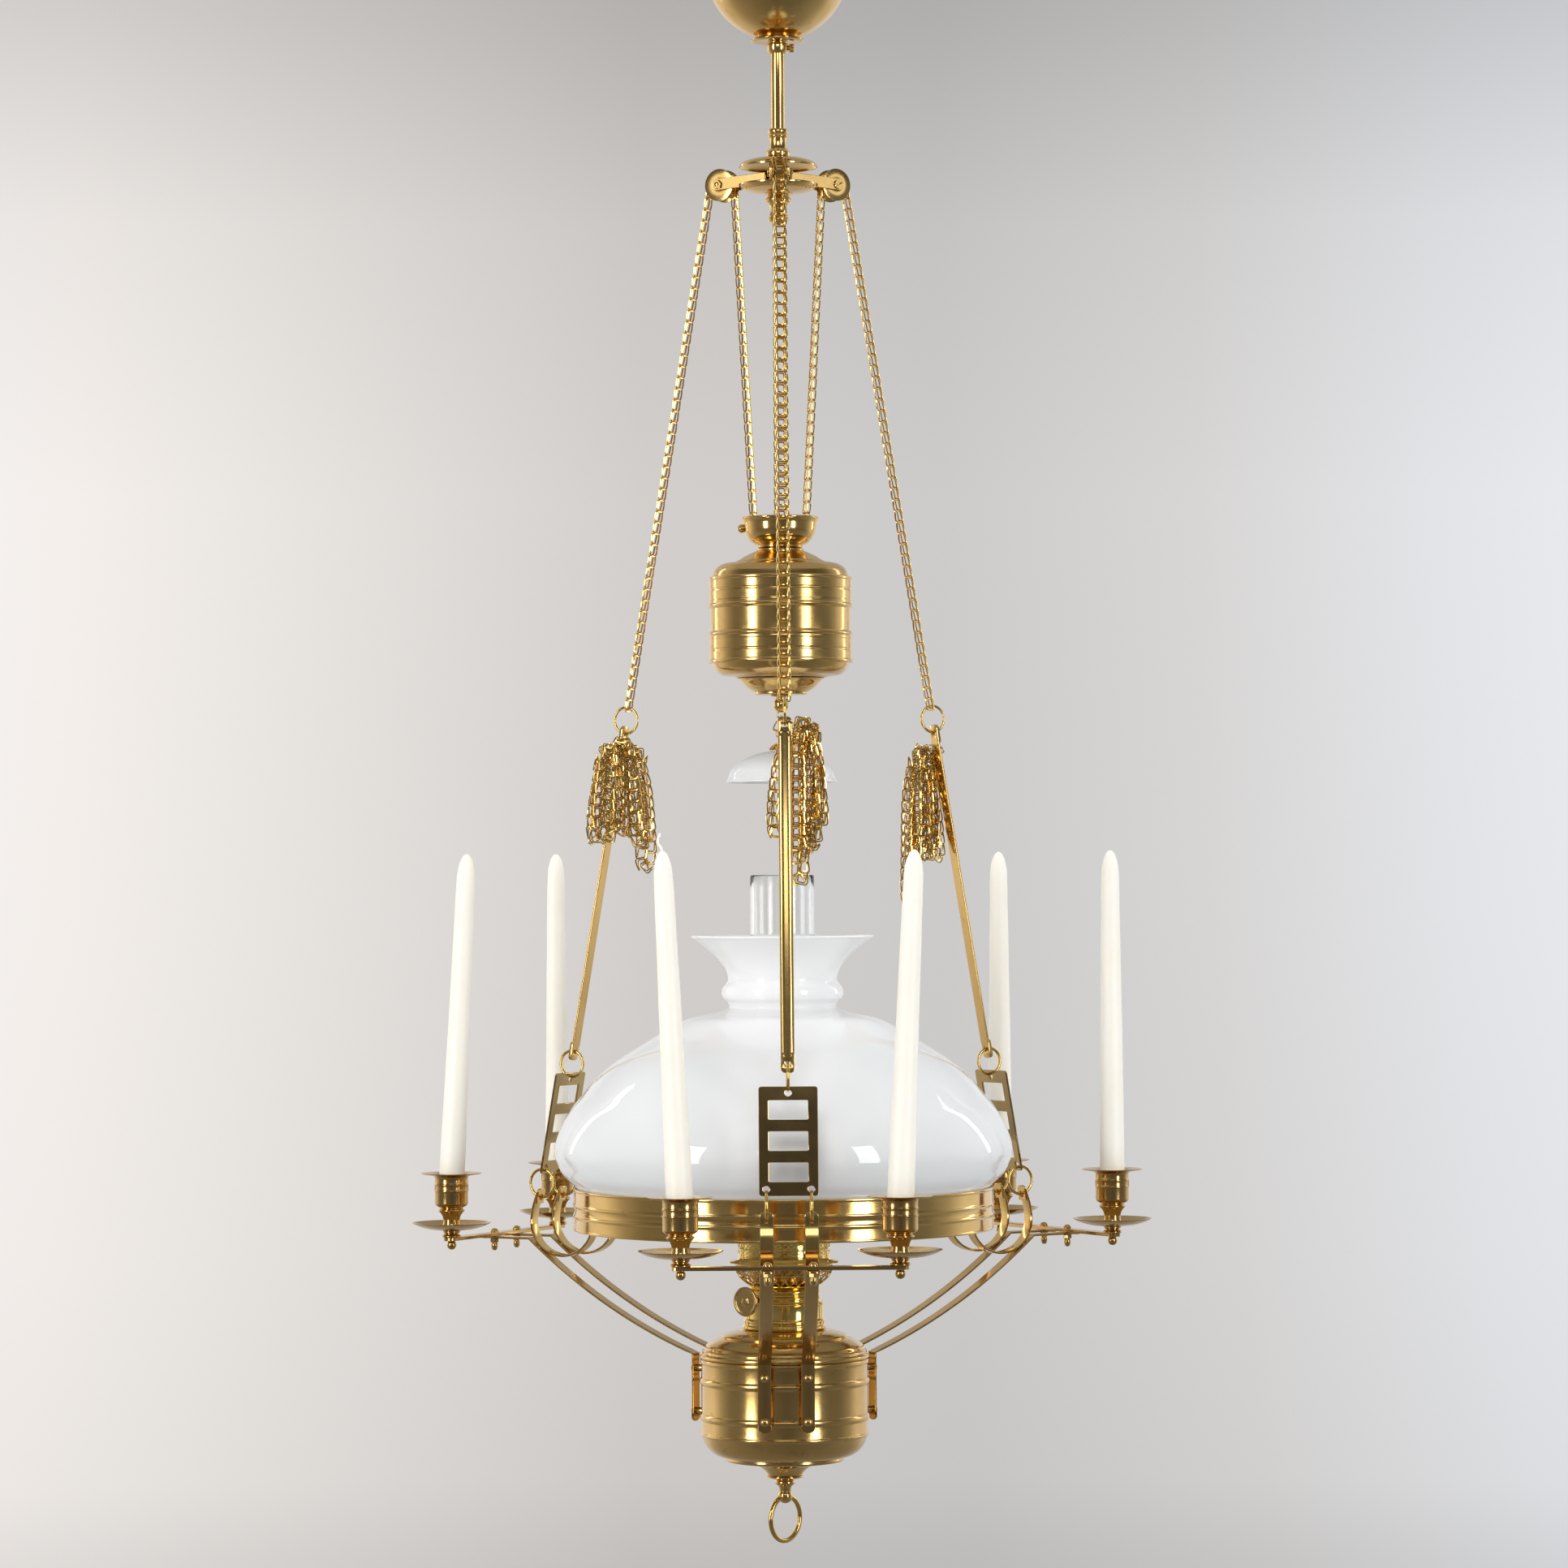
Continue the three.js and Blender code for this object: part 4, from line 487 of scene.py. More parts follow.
def low(node):
    """The lowest height of a node of the frame, in millimetres."""
    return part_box(node)[0].z / MM


def high(node):
    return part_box(node)[1].z / MM


def turned(points, radius=0.4, steps=96, rounding=2):
    """A lathe with softened corners; the outline closes on itself or ends on the axis."""
    on_axis = points[0][0] < 1e-6 and points[-1][0] < 1e-6
    return lathe(filleted(points, radius, not on_axis, rounding), steps)


def warped(shape, change):
    """Moves each point of a lathe: change(radius, angle, height) gives its new radius and height."""
    moved = []
    for point in shape.points:
        radius = math.hypot(point.x, point.y)
        angle = math.atan2(point.y, point.x)
        if radius > 1e-6:
            new_radius, height = change(radius, angle, point.z)
            moved.append(Vector((new_radius * math.cos(angle), new_radius * math.sin(angle), height)))
        else:
            moved.append(point.copy())
    return Shape(moved, shape.faces)


def prism(outline, bottom, top, chamfer=0.3):
    """A solid of any outline between two heights, with chamfered edges; made for small hardware."""
    centre = Vector((sum(p[0] for p in outline), sum(p[1] for p in outline))) / len(outline)
    size = max((Vector(p) - centre).length for p in outline)
    inset = [tuple(centre + (Vector(p) - centre) * (1 - chamfer / size)) for p in outline]
    layers = [(inset, bottom), (outline, bottom + chamfer), (outline, top - chamfer), (inset, top)]
    return loft([[(x, y, z) for x, y in loop] for loop, z in layers])


def slotted_head(radius, height, slot=0.9):
    """A cheese head with a screwdriver slot, standing on the X-Y plane."""
    shape = turned([(0, -0.5), (radius, -0.5), (radius, height * 0.55), (0, height * 0.55)], 0.2, 28)
    reach = math.degrees(math.asin(slot / 2 / radius))
    for start in (0, 180):
        half = arc(0, 0, radius, start + reach, start + 180 - reach, 12)
        shape.add(prism(half, height * 0.5, height, 0.35))
    return shape


def quadratic(a, b, c, steps):
    a, b, c = Vector(a), Vector(b), Vector(c)
    return [tuple(a * (1 - t) ** 2 + b * 2 * t * (1 - t) + c * t * t)
            for t in (i / steps for i in range(steps + 1))]


# Ceiling rose, stem and hub

CUP_RADIUS = 61.0
CUP_CENTRE = -14.0
STEM_RADIUS = 5.85
HUB_RADIUS = 33.6
GAP = 0.3  # between pieces that touch
PULLEY_OFFSET = 54.6
PULLEY_RADIUS = 13.8
PULLEY_HALF = 6.15
CHEEK_INSIDE = 6.45
CHEEK = 1.8
pulley_level = (high("pulley_front") + low("pulley_front")) / 2


def build_rose():
    inside = CUP_RADIUS - 1.2
    foot = low("ceiling_cup")
    bore = STEM_RADIUS + 0.3
    washer = 23.0
    neck = -math.degrees(math.acos(17.8 / CUP_RADIUS))
    make("rose_cup", turned([
        (bore, foot),
        *shifted(washer, foot, (-2.4, 0, 0.8), (0, 1.1, 0.7), (-0.5, 2.5, 0.6)),
        (19.4, foot + 3.2, 0.8), (17.8, foot + 4.3, 0.6), *arc(0, CUP_CENTRE, CUP_RADIUS, neck, -12, 26),
        (CUP_RADIUS - 0.4, CUP_CENTRE, 0),
        *shifted(CUP_RADIUS, 0, (-0.4, -5.4), (0, -4.8), (0, -3.4), (-0.5, -2.9), (-0.5, 0)),
        (inside, 0), *arc(0, CUP_CENTRE, inside, 0, -83, 20),
    ], 0.35, 128), spun, "ceiling_rose", "ceiling_cup")

    top, bottom = high("cup_collar"), low("cup_collar")
    make("rose_collar", turned([
        (bore, bottom),
        *shifted(0, bottom, (7.4, 0, 0.5), (8.2, 1.2, 0.5), (8.9, 2.2)),
        (9.0, top - 1.7), (8.3, top - 0.9), (8.6, top, 0.3), (bore, top),
    ], 0.5, 64), polished, "ceiling_rose", "cup_collar")

    level = (top + bottom) / 2
    head = turned([
        (0, bore), (1.3, bore, 0), (1.3, 8.8, 0), (2.3, 9.3), (2.6, 10.0), (3.4, 10.4), (3.4, 13.6),
        (2.6, 14.2), (0, 14.3),
    ], 0.2, 72)
    head = warped(head, lambda r, a, z: (r + (0.14 * math.cos(24 * a) if r > 3.1 else 0), z))
    make("rose_screw_head", head.moved(move(0, 0, level) @ turn(90, "Y")), cast, "rose_screw",
         "collar_screw")


def build_stem():
    top, bottom = high("stem_tube"), low("stem_tube")
    make("stem", turned([(4.4, bottom), (STEM_RADIUS, bottom), (STEM_RADIUS, top), (4.4, top)], 0.3, 64),
         polished, "hanger", "stem_tube")
    eye_radius, eye_wire = 10.2, 4.4
    eye = ring(eye_radius, eye_wire, 48, 14).moved(move(0, 0, high("hanging_eye") - eye_radius))
    eye.add(turned([
        (0, top - 17), (4.0, top - 17), (4.0, top + 0.2),
        *shifted(STEM_RADIUS, top, (0, 0.3), (0, 3.6)),
        (4.6, top + 5.0), (0, top + 5.4),
    ], 0.4, 40))
    make("stem_eye", eye, cast, "hanger", "hanging_eye")

    lip = -151.0  # the upper edge of the socket, round the stem
    foot = high("hub_cap") + GAP
    make("stem_socket", turned([
        *shifted(0, low("hub_spindle"), (0, 0), (4.1, 0)),
        *shifted(0, foot, (4.1, -30), (8, -30), (8, -2.4), (4.1, -2.4), (4.1, 0), (9.6, 0, 0.5),
            (10.2, 0.9), (10.2, 3.9), (9.5, 5.0), (8.3, 5.7), (7.6, 7.6, 1.4), (7.2, 12, 0)),
        *shifted(0, lip, (7.3, -8.0), (8.1, -7.4), (8.8, -6.3, 0.7), (8.1, -5.2), (7.7, -4.6), (8.3, -3.9),
            (8.8, -2.9, 0.7), (8.6, -0.9), (7.9, 0), (6.15, 0)),
        (6.15, foot + 9), (0, foot + 9),
    ], 0.35, 72), polished, "hanger", "hub_spindle")


def build_hub():
    top, rim = high("hub_cap"), low("hub_cap")
    wall = 1.2
    height = top - rim
    make("hub_cap_shell", turned([
        (4.4, top), (10.2, top), (12.4, top - 0.4),
        *arc(0, rim + 1.6, HUB_RADIUS - 0.8, 66, 8, 12, height - 1.8),
        *shifted(HUB_RADIUS, rim, (0, 1.5), (0, 0), (-1.1, 0)),
        *arc(0, rim, HUB_RADIUS - wall - 0.6, 4, 68, 10, height - wall - 0.2), (4.4, top - wall),
    ], 0.3, 112), polished, "hanger", "hub_cap")
    bottom, rim = low("hub_dish"), high("hub_dish")
    height = rim - bottom
    make("hub_dish_shell", turned([
        (4.4, bottom), (10.4, bottom), (13.0, bottom + 0.3),
        *arc(0, rim - 1.6, HUB_RADIUS - 0.8, -66, -8, 12, height - 1.8),
        *shifted(HUB_RADIUS, rim, (0, -1.5), (0, 0), (-1.1, 0)),
        *arc(0, rim, HUB_RADIUS - wall - 0.6, -4, -68, 10, height - wall - 0.2), (4.4, bottom + wall),
    ], 0.3, 112), polished, "hanger", "hub_dish")
    top, bottom = high("hub_finial"), low("hub_finial")
    make("hub_finial_turned", turned([
        (0, top - 6.3), (4.4, top - 6.3), (4.4, top), (9.0, top, 0.6),
        *arc(8.0, top - 4.5, 3.0, 62, -62, 8),
        *shifted(0, top, (8.0, -8.4, 0.8), (7.2, -11.0, 1.5), (6.6, -13.4, 2.5), (7.4, -16.4, 1.2),
            (8.2, -18.2, 0.5)),
        *arc(6.5, top - 21, 2.4, 60, -62, 6),
        *shifted(0, bottom, (5.2, 1.7, 0.8), (3.2, 0.5, 0.5), (0, 0)),
    ], 0.4, 72), polished, "hanger", "hub_finial")


def build_pulley(side):
    place = leg(side)
    web_height = 10.0
    web_bottom = high("hub_dish") + GAP
    web_top = web_bottom + web_height
    web_inside = 8.3
    nose = 5.0
    tip = PULLEY_OFFSET + nose
    outline = filleted([
        (web_inside, web_bottom, 0.6), (tip, pulley_level - nose, 2.4), (tip, pulley_level + nose, 2.4),
        (web_inside, web_top, 0.6),
    ], 0.6, True, 5)
    cheek = flat_plate(outline, [], CHEEK, 0.35).moved(turn(90, "X"))
    fork = Shape()
    for sign in (-1, 1):
        fork.add(cheek, move(0, sign * (CHEEK_INSIDE + CHEEK / 2), 0))
    web = flat_plate(rounded_box(web_height, 2 * CHEEK_INSIDE + 0.6, 0.5), [], 2.6, 0.3)
    fork.add(web, move(web_inside + 1.4, 0, web_top - web_height / 2) @ turn(90, "Y"))
    axle = move(PULLEY_OFFSET, 0, pulley_level) @ turn(-90, "X")
    outside = CHEEK_INSIDE + CHEEK
    hardware = turned([
        (0, -outside - 0.4), (2, -outside - 0.4), (2, outside + 2.9), (0, outside + 3.2),
    ], 0.3, 24)
    hardware.add(prism(circle(4.1, 6), outside - 0.2, outside + 2.3, 0.4), turn(12, "Z"))
    hardware.add(slotted_head(3.9, 1.9), move(0, 0, -outside) @ turn(180, "X") @ turn(25, "Z"))
    make(f"fork_{side}", fork.moved(place), cast, "hanger", f"pulley_fork_{side}", sharp=PLATE)
    make(f"fork_axle_{side}", hardware.moved(place @ axle), cast, "hanger")

    groove, flange, half = 9.3, 0.8, PULLEY_HALF
    inside = half - flange
    wheel = turned([
        (2.3, -half), (PULLEY_RADIUS, -half, 0.35), (PULLEY_RADIUS, -inside, 0.35),
        (groove, 0.3 - inside, 0.8), (groove, inside - 0.3, 0.8),
        (PULLEY_RADIUS, inside, 0.35), (PULLEY_RADIUS, half, 0.35), (2.3, half),
    ], 0.3, 72)
    make(f"pulley_wheel_{side}_turned", wheel.moved(place @ axle), spun, f"pulley_wheel_{side}",
         f"pulley_{side}")


# The taut line of each leg: chain, ring, rod, ring, ladder plate, rings.
# Distances run down the line from its top, where the chain leaves the pulley.

LINE_SLOPE = math.radians(10.75)
CHAIN_SEAT = 11.55  # radius of the chain's middle on the pulley
CHAIN_PITCH = 9.7
TOP_RING_AT = 466.0
CHAIN_END = 457.6
ROD_FROM, ROD_TO = 471.0, 765.0
ROD_HOLES = (479.2, 756.8)
LOWER_RING_AT = 768.07
LADDER_FROM, LADDER_TO = 775.97, 864.27
LADDER_WIDTH = 47.7
STRAP_SPACING = 36.2
RING_OUTER, SMALL_RING_OUTER = 12.5, 13.25
TOP_RING_WIRE, LOWER_RING_WIRE = 2.3, 2.6
RING_STEPS, WIRE_SIDES = 56, 14
EYELET = 2.8  # radius of the holes that the rings pass through
SMALL_RING_AT = 872.92
HOOK_HOLE = 885.16
line_top = (PULLEY_OFFSET + CHAIN_SEAT * math.cos(LINE_SLOPE),
            pulley_level + CHAIN_SEAT * math.sin(LINE_SLOPE))
weight_top = high("weight_cup")
INNER_END = (25.4, weight_top - 5.7)  # where the chain ends at the counterweight's cup
SLANT = Matrix.Rotation(-LINE_SLOPE, 4, "Y")


def on_line(distance):
    return (line_top[0] + distance * math.sin(LINE_SLOPE), line_top[1] - distance * math.cos(LINE_SLOPE))


def line_matrix(side):
    """The line's own frame: X outward, Y across, and a point at distance d lies at z = -d."""
    return leg(side) @ move(line_top[0], 0, line_top[1]) @ SLANT


inner_reach = math.hypot(PULLEY_OFFSET - INNER_END[0], pulley_level - INNER_END[1])
inner_slope = (math.atan2(PULLEY_OFFSET - INNER_END[0], pulley_level - INNER_END[1])
               - math.asin(CHAIN_SEAT / inner_reach))
wrap_angle = math.pi - LINE_SLOPE - inner_slope
wrap_length = CHAIN_SEAT * wrap_angle
inner_length = math.sqrt(inner_reach ** 2 - CHAIN_SEAT ** 2)
chain_length = CHAIN_END + wrap_length + inner_length
chain_links = round(chain_length / CHAIN_PITCH)
chain_step = chain_length / chain_links


def chain_at(distance):
    """Place and outward normal of the chain's middle, from its lower outer end over the pulley."""
    if distance <= CHAIN_END:
        x, z = on_line(CHAIN_END - distance)
        return x, z, math.cos(LINE_SLOPE), math.sin(LINE_SLOPE)
    past = distance - CHAIN_END
    angle = LINE_SLOPE + min(past / CHAIN_SEAT, wrap_angle)
    straight = max(past - wrap_length, 0)
    nx, nz = math.cos(angle), math.sin(angle)
    return (PULLEY_OFFSET + CHAIN_SEAT * nx - straight * nz, pulley_level + CHAIN_SEAT * nz + straight * nx,
            nx, nz)


# Half of one wire link, seen from outside: across, along the chain, outward
LINK_HALF = [(2.3, 0.9, 0.9), (3.0, 1.8, 0.9), (3.5, 7.0, 0.9), (3.7, 9.0, 0.75), (3.9, 9.8, 0.0),
             (4.1, 9.2, -0.75), (4.6, 6.4, -0.9), (5.0, 2.6, -0.8), (4.9, 0.7, -0.5), (3.9, -0.4, -0.3),
             (2.2, -0.6, -0.3)]
LINK_WIRE = 0.7  # the wire's radius


def link_shape(steps=2, sides=5):
    other_half = [(-across, along, outward) for across, along, outward in reversed(LINK_HALF)]
    return sweep(smooth(LINK_HALF + other_half, steps, True), circle(LINK_WIRE, sides), True)


def frame_at(across, along, out, place):
    """The matrix with these three axes, at a place."""
    return Matrix.Translation(place) @ Matrix((across, along, out)).transposed().to_4x4()


def chain_run(first, last):
    link_form = link_shape()
    run = Shape()
    for i in range(first, last):
        x, z, nx, nz = chain_at(i * chain_step)
        x2, z2 = chain_at((i + 1) * chain_step)[:2]
        along = Vector((x2 - x, 0, z2 - z)).normalized()
        across = Vector((0, 1, 0))
        out = across.cross(along)
        if out.dot(Vector((nx, 0, nz))) < 0:
            across = -across
            out = -out
        run.add(link_form, frame_at(across, along, out, (x, 0, z)))
    return run


def hang_between(piece):
    """Bakes the piece's place into its mesh; the piece is left on no body."""
    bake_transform(piece)


def build_chain(side):
    place = leg(side)
    first_bent = math.floor(CHAIN_END / chain_step)
    last_bent = math.ceil((CHAIN_END + wrap_length) / chain_step)

    outer = make(f"chain_{side}_outer", chain_run(0, first_bent).moved(place), wire_brass, None,
                 f"chain_{side}")
    hang_between(outer)
    make(f"chain_{side}_over_pulley", chain_run(first_bent, last_bent).moved(place), wire_brass, "hanger")
    inner = make(f"chain_{side}_inner", chain_run(last_bent, chain_links).moved(place), wire_brass, None)
    hang_between(inner)


def build_rod(side):
    place = line_matrix(side)
    bar = Shape()
    flat = 17.0
    for hole, end, way in zip(ROD_HOLES, (ROD_FROM, ROD_TO), (1, -1)):
        middle = -(end + way * flat / 2)
        outline = [(x, y + middle) for x, y in rounded_box(11.3, flat, 3.6, 5)]
        bar.add(flat_plate(outline, [circle(2.5, 24, 0, -hole)], 3.2, 0.5), UPRIGHT)
    half_width, bulge = 5.65, 3.0
    back = [(-1 + bulge * math.sin(math.radians(a)), -half_width * math.cos(math.radians(a)))
            for a in range(10, 180, 10)]
    section = filleted([(-2.0, -5.3), (-1.4, -half_width), *back, (-1.4, half_width), (-2.0, 5.3)],
                       0.3, True, 1)
    shrunk = [(x * 0.6, y * 0.9) for x, y in section]
    start, end = ROD_FROM + 9, ROD_TO - 9
    loops = ((start, shrunk), (start + 5, section), (end - 5, section), (end, shrunk))
    bar.add(loft([[(x, y, -level) for x, y in loop] for level, loop in loops]))
    make(f"rod_{side}_bar", bar.moved(place), spun, "lamp_frame", f"rod_{side}", sharp=ROUND_CREASE)
    gap_place = 8.0 if side == "right" else 172.0
    split = 9.0
    top_ring = ring(RING_OUTER, TOP_RING_WIRE, RING_STEPS, WIRE_SIDES, split, gap_place)
    make(f"rod_{side}_ring", top_ring.moved(place @ move(0, 0, -TOP_RING_AT)), wire_brass, "lamp_frame")


def build_ladder(side):
    place = line_matrix(side)
    window_width, window_height, window_bar = 31.9, 15.8, 9.4
    length = LADDER_TO - LADDER_FROM
    middle = -(LADDER_FROM + LADDER_TO) / 2
    outline = [(x, y + middle) for x, y in rounded_box(LADDER_WIDTH, length, 2.2)]
    window = rounded_box(window_width, window_height, 0.8, 2)
    holes = [[(x, y + middle + k * (window_height + window_bar)) for x, y in window] for k in (-1, 0, 1)]
    hole_inset = 5.3
    top_hole, bottom_hole = LADDER_FROM + hole_inset, LADDER_TO - hole_inset
    holes.append(circle(EYELET, 24, 0, -top_hole))
    holes += [circle(EYELET, 24, sign * STRAP_SPACING / 2, -bottom_hole) for sign in (-1, 1)]
    plate = flat_plate(outline, holes, 2.0, 0.35)
    # The ladder plate takes the darker brass, which is painted shade.
    make(f"ladder_{side}", plate.moved(place @ UPRIGHT), plate_brass_painted_shade, "lamp_frame",
         f"ladder_plate_{side}", sharp=PLATE)
    rings = ring(RING_OUTER, LOWER_RING_WIRE, RING_STEPS, WIRE_SIDES, 4.0, 200.0)
    rings = rings.moved(move(0, 0, -LOWER_RING_AT))
    for sign in (-1, 1):
        split = 4.0 if sign > 0 else 0.0
        small = ring(SMALL_RING_OUTER, LOWER_RING_WIRE, RING_STEPS, WIRE_SIDES, split, -20.0)
        rings.add(small, move(0, sign * STRAP_SPACING / 2, -SMALL_RING_AT))
    make(f"ladder_{side}_rings", rings.moved(place), wire_brass, "lamp_frame")


# Spare chain, looped over the head of each rod; it hangs straight down, whatever the rod's slope.
# Each strand: sideways place in the room's X, depth in the room's Y, drop below the rod's head.

BUNDLES = {
    "left": {
        "behind": 0,
        "strands": ((-29, -9, 88), (-25, -8, 99), (-17, -10, 99), (-11, -7, 84), (-6, -12, 88), (0, -8, 86),
                    (4, -12, 84), (9, -8, 90), (15, -10, 117), (22, -8, 117), (19, -14, 100), (8, -15, 92),
                    (-4, -15, 78), (-14, -14, 86), (-22, -14, 92)),
        "crown": -7},
    "front": {
        "behind": 1,
        "strands": ((-9, 9, 90), (-6, 13, 92), (9, 10, 128), (14, 8, 130), (20, 11, 100), (25, 9, 101),
                    (28, 14, 88), (30, 10, 80), (22, 16, 92), (16, 17, 110), (10, 15, 118), (27, 17, 70)),
        "crown": 2},
    "right": {
        "behind": 1,
        "strands": ((-24, 8, 148), (-21, 11, 150), (-16, 7, 110), (-11, 10, 112), (-8, 7, 111), (-4, 11, 108),
                    (-1, 8, 111), (3, 11, 111), (0, 15, 96), (-9, 15, 104), (-15, 15, 98), (-20, 13, 120)),
        "crown": -13},
}


def bundle_route(strands, crown, seed):
    """One chain that falls, turns at the bottom, climbs over the crown and falls again."""
    chance = random.Random(seed)
    middle = sum(strand_place[0] for strand_place in strands) / len(strands)
    half = max(abs(strand_place[0] - middle) for strand_place in strands)
    crown_fall = 11.0  # how much lower the crown is at its sides
    narrowest, widest_below = 0.55, 40  # the bundle is drawn together at the crown, down to this depth
    points, twists = [], []

    def put(u, depth, height, twist):
        points.append((u, depth, height))
        twists.append(twist)

    for i, (u, depth, drop) in enumerate(strands):
        top = crown - crown_fall * ((u - middle) / half) ** 2 + chance.uniform(-1.2, 1.2)
        swing = chance.choice((-1, 1)) * chance.choice((1.3, 0.8, 0.35, 0.1))
        levels = [top - 7, -drop * 0.4, -drop * 0.72, -drop + 5]
        if i % 2:
            levels.reverse()
        for k, level in enumerate(levels):
            inner = narrowest + (1 - narrowest) * min(1.0, (top - level) / widest_below)
            place = middle + (u - middle) * inner
            put(place + chance.uniform(-0.9, 0.9), depth + chance.uniform(-0.8, 0.8), level,
                swing * (0.3, 0.9, 0.7, 0.2)[k if not i % 2 else 3 - k])
        if i + 1 < len(strands):
            after, next_depth, next_drop = strands[i + 1]
            if i % 2:
                over = middle + ((u + after) / 2 - middle) * 0.6
                put(over + (u - over) * 0.55, depth * 0.95, top - 1.5, 0.1)
                put(over, (depth + next_depth) / 2 * 0.75, top + 1.5, 0.1)
            else:
                put((u + after) / 2, (depth + next_depth) / 2, -(drop + next_drop) / 2 - 1.5, 0.1)
    return smooth(points, 6), smooth([(t, 0) for t in twists], 6)


def strand(route, twists):
    """Links end to end along a route; each one spans the chord between two joints of the chain."""
    form = link_shape(1, 5)
    vectors = [Vector(point) for point in route]
    joints, wanted, travelled = [], 0.0, 0.0
    for i, (a, b) in enumerate(zip(vectors, vectors[1:])):
        span = (b - a).length
        while span > 0 and wanted <= travelled + span:
            joints.append((a.lerp(b, (wanted - travelled) / span), twists[i][0]))
            wanted += CHAIN_PITCH
        travelled += span
    shape = Shape()
    for (here, twist), (there, _) in zip(joints, joints[1:]):
        along = (there - here).normalized()
        length = max((there - here).length / CHAIN_PITCH, 0.5)
        facing = Vector((0, 1, 0)) if abs(along.y) < 0.95 else Vector((1, 0, 0))
        across = (facing - along * facing.dot(along)).normalized()
        across = Matrix.Rotation(math.pi / 2 + twist, 3, along) @ across
        shape.add(form, frame_at(across, along * length, across.cross(along), here))
    return shape


def build_bundle(side):
    facts = BUNDLES[side]
    route, twists = bundle_route(facts["strands"], facts["crown"], 11 + len(side))
    head = line_matrix(side) @ Vector((0, 0, -(ROD_FROM + 6.0)))
    bundle = strand(route, twists)
    crown = facts["crown"] - 6
    tie_depth = 9 if facts["behind"] else -9
    tie = smooth([(-9, tie_depth, crown), (-5, 0, crown + 7), (4, -3, crown + 6), (8, 2, crown + 2),
                  (4, tie_depth * 0.8, crown), (-4, tie_depth, crown - 1)], 6, True)
    bundle.add(sweep(tie, circle(0.7, 6), True))
    make(f"spare_chain_{side}", bundle.moved(move(*head)), wire_brass, "lamp_frame",
         f"chain_bundle_{side}")


# Arms, hooks and candle bars

STRAP_WIDTH, STRAP_THICKNESS = 11.2, 2.2
RING_RADIUS = 177.7
BAR_RADIAL = 277.9
ARM_TIP = BAR_RADIAL + 12.1
ARM_BEND, ARM_LEVEL = 240.0, -1098.9
ARM_SAG = 8.5
SOLDER_GAP = 1.2  # between a hook and its arm, filled by a bead of solder
ARM_FOOT, ARM_FOOT_LEVEL, ARM_FOOT_END = 76.6, -1191.5, -1249.0
ARM_SCREWS = (-1203.5, -1240.0)
HOOK_REACH = 237.0
CANDLE_OFFSET = 86.9
CANDLE_LEAN = {"front_a": -2.6, "front_b": 2.6, "left_b": 2.9}


def strap_section(width, thickness, crown=0.35):
    """A strap's section: flat below, gently crowned above, with worn corners."""
    half, low_side, high_side = width / 2, -thickness / 2, thickness / 2
    top = [(half - 0.7 - (width - 1.4) * k / 6, high_side - crown * (2 * k / 6 - 1) ** 2) for k in range(7)]
    return [
        (-half + 0.5, low_side),
        *shifted(half, low_side, (-0.5, 0), (0, 0.45)),
        (half, high_side - crown - 0.5), *top, (-half, high_side - crown - 0.5), (-half, low_side + 0.45),
    ]


def arm_line():
    bend, foot = Vector((ARM_BEND, ARM_LEVEL)), Vector((ARM_FOOT, ARM_FOOT_LEVEL))
    chord = (foot - bend).normalized()
    control = (bend + foot) / 2 + Vector((-chord.y, chord.x)) * (2 * ARM_SAG)
    curve = quadratic(bend, control, foot, 24)
    return [(ARM_TIP - 4, ARM_LEVEL), (ARM_BEND + 14, ARM_LEVEL), *curve, (ARM_FOOT, ARM_FOOT_LEVEL - 14),
            (ARM_FOOT, ARM_FOOT_END + 4)]


def hook_line(depth, steps=28):
    start = low("shade_ring") - 0.3
    root = math.sqrt((RING_RADIUS - 0.6) ** 2 - (STRAP_SPACING / 2) ** 2)
    radial, half = (HOOK_REACH + root) / 2, (HOOK_REACH - root) / 2
    hole = on_line(HOOK_HOLE - 4.5)
    lean = quadratic((HOOK_REACH, start), (HOOK_REACH, start + 0.4 * half), hole, 10)
    return arc(radial, start, half, 180, 360, steps, depth) + lean[1:]


def hook_and_bead():
    """How deep the hook hangs when it all but touches the arm, and the place of its solder bead."""
    arm = [Vector(p) for p in arm_line()]
    fine = [a.lerp(b, k / 12) for a, b in zip(arm, arm[1:]) for k in range(12)]
    depth, gap = 9.0, math.inf
    while gap > STRAP_THICKNESS + SOLDER_GAP and depth < 60:
        depth += 0.2
        bend = [Vector(q) for q in hook_line(depth, 12)[:13]]
        gap, middle = min(((p - q).length, tuple((p + q) / 2)) for p in fine for q in bend)
    return depth, middle


HOOK_DEPTH, SOLDER_AT = hook_and_bead()


def strap(line, width, thickness, crown=0.35):
    path = [(x, 0, z) for x, z in line]
    return sweep(path, strap_section(width, thickness, crown), False,
                 lambda tangent: Vector((0, 1, 0)).cross(tangent) * -1)


def rounded_tip(x, z, direction, width, thickness):
    """A half-round strap end, pointing along a direction in the leg's own plane."""
    outline = arc(0, 0, width / 2, -90, 90, 12, width / 2)
    outline = [(px * 0.72, py) for px, py in outline] + [(-3, width / 2), (-3, -width / 2)]
    tip = flat_plate(outline, [], thickness, 0.4)
    return tip.moved(move(x, 0, z) @ Matrix.Rotation(-math.atan2(direction[1], direction[0]), 4, "Y"))


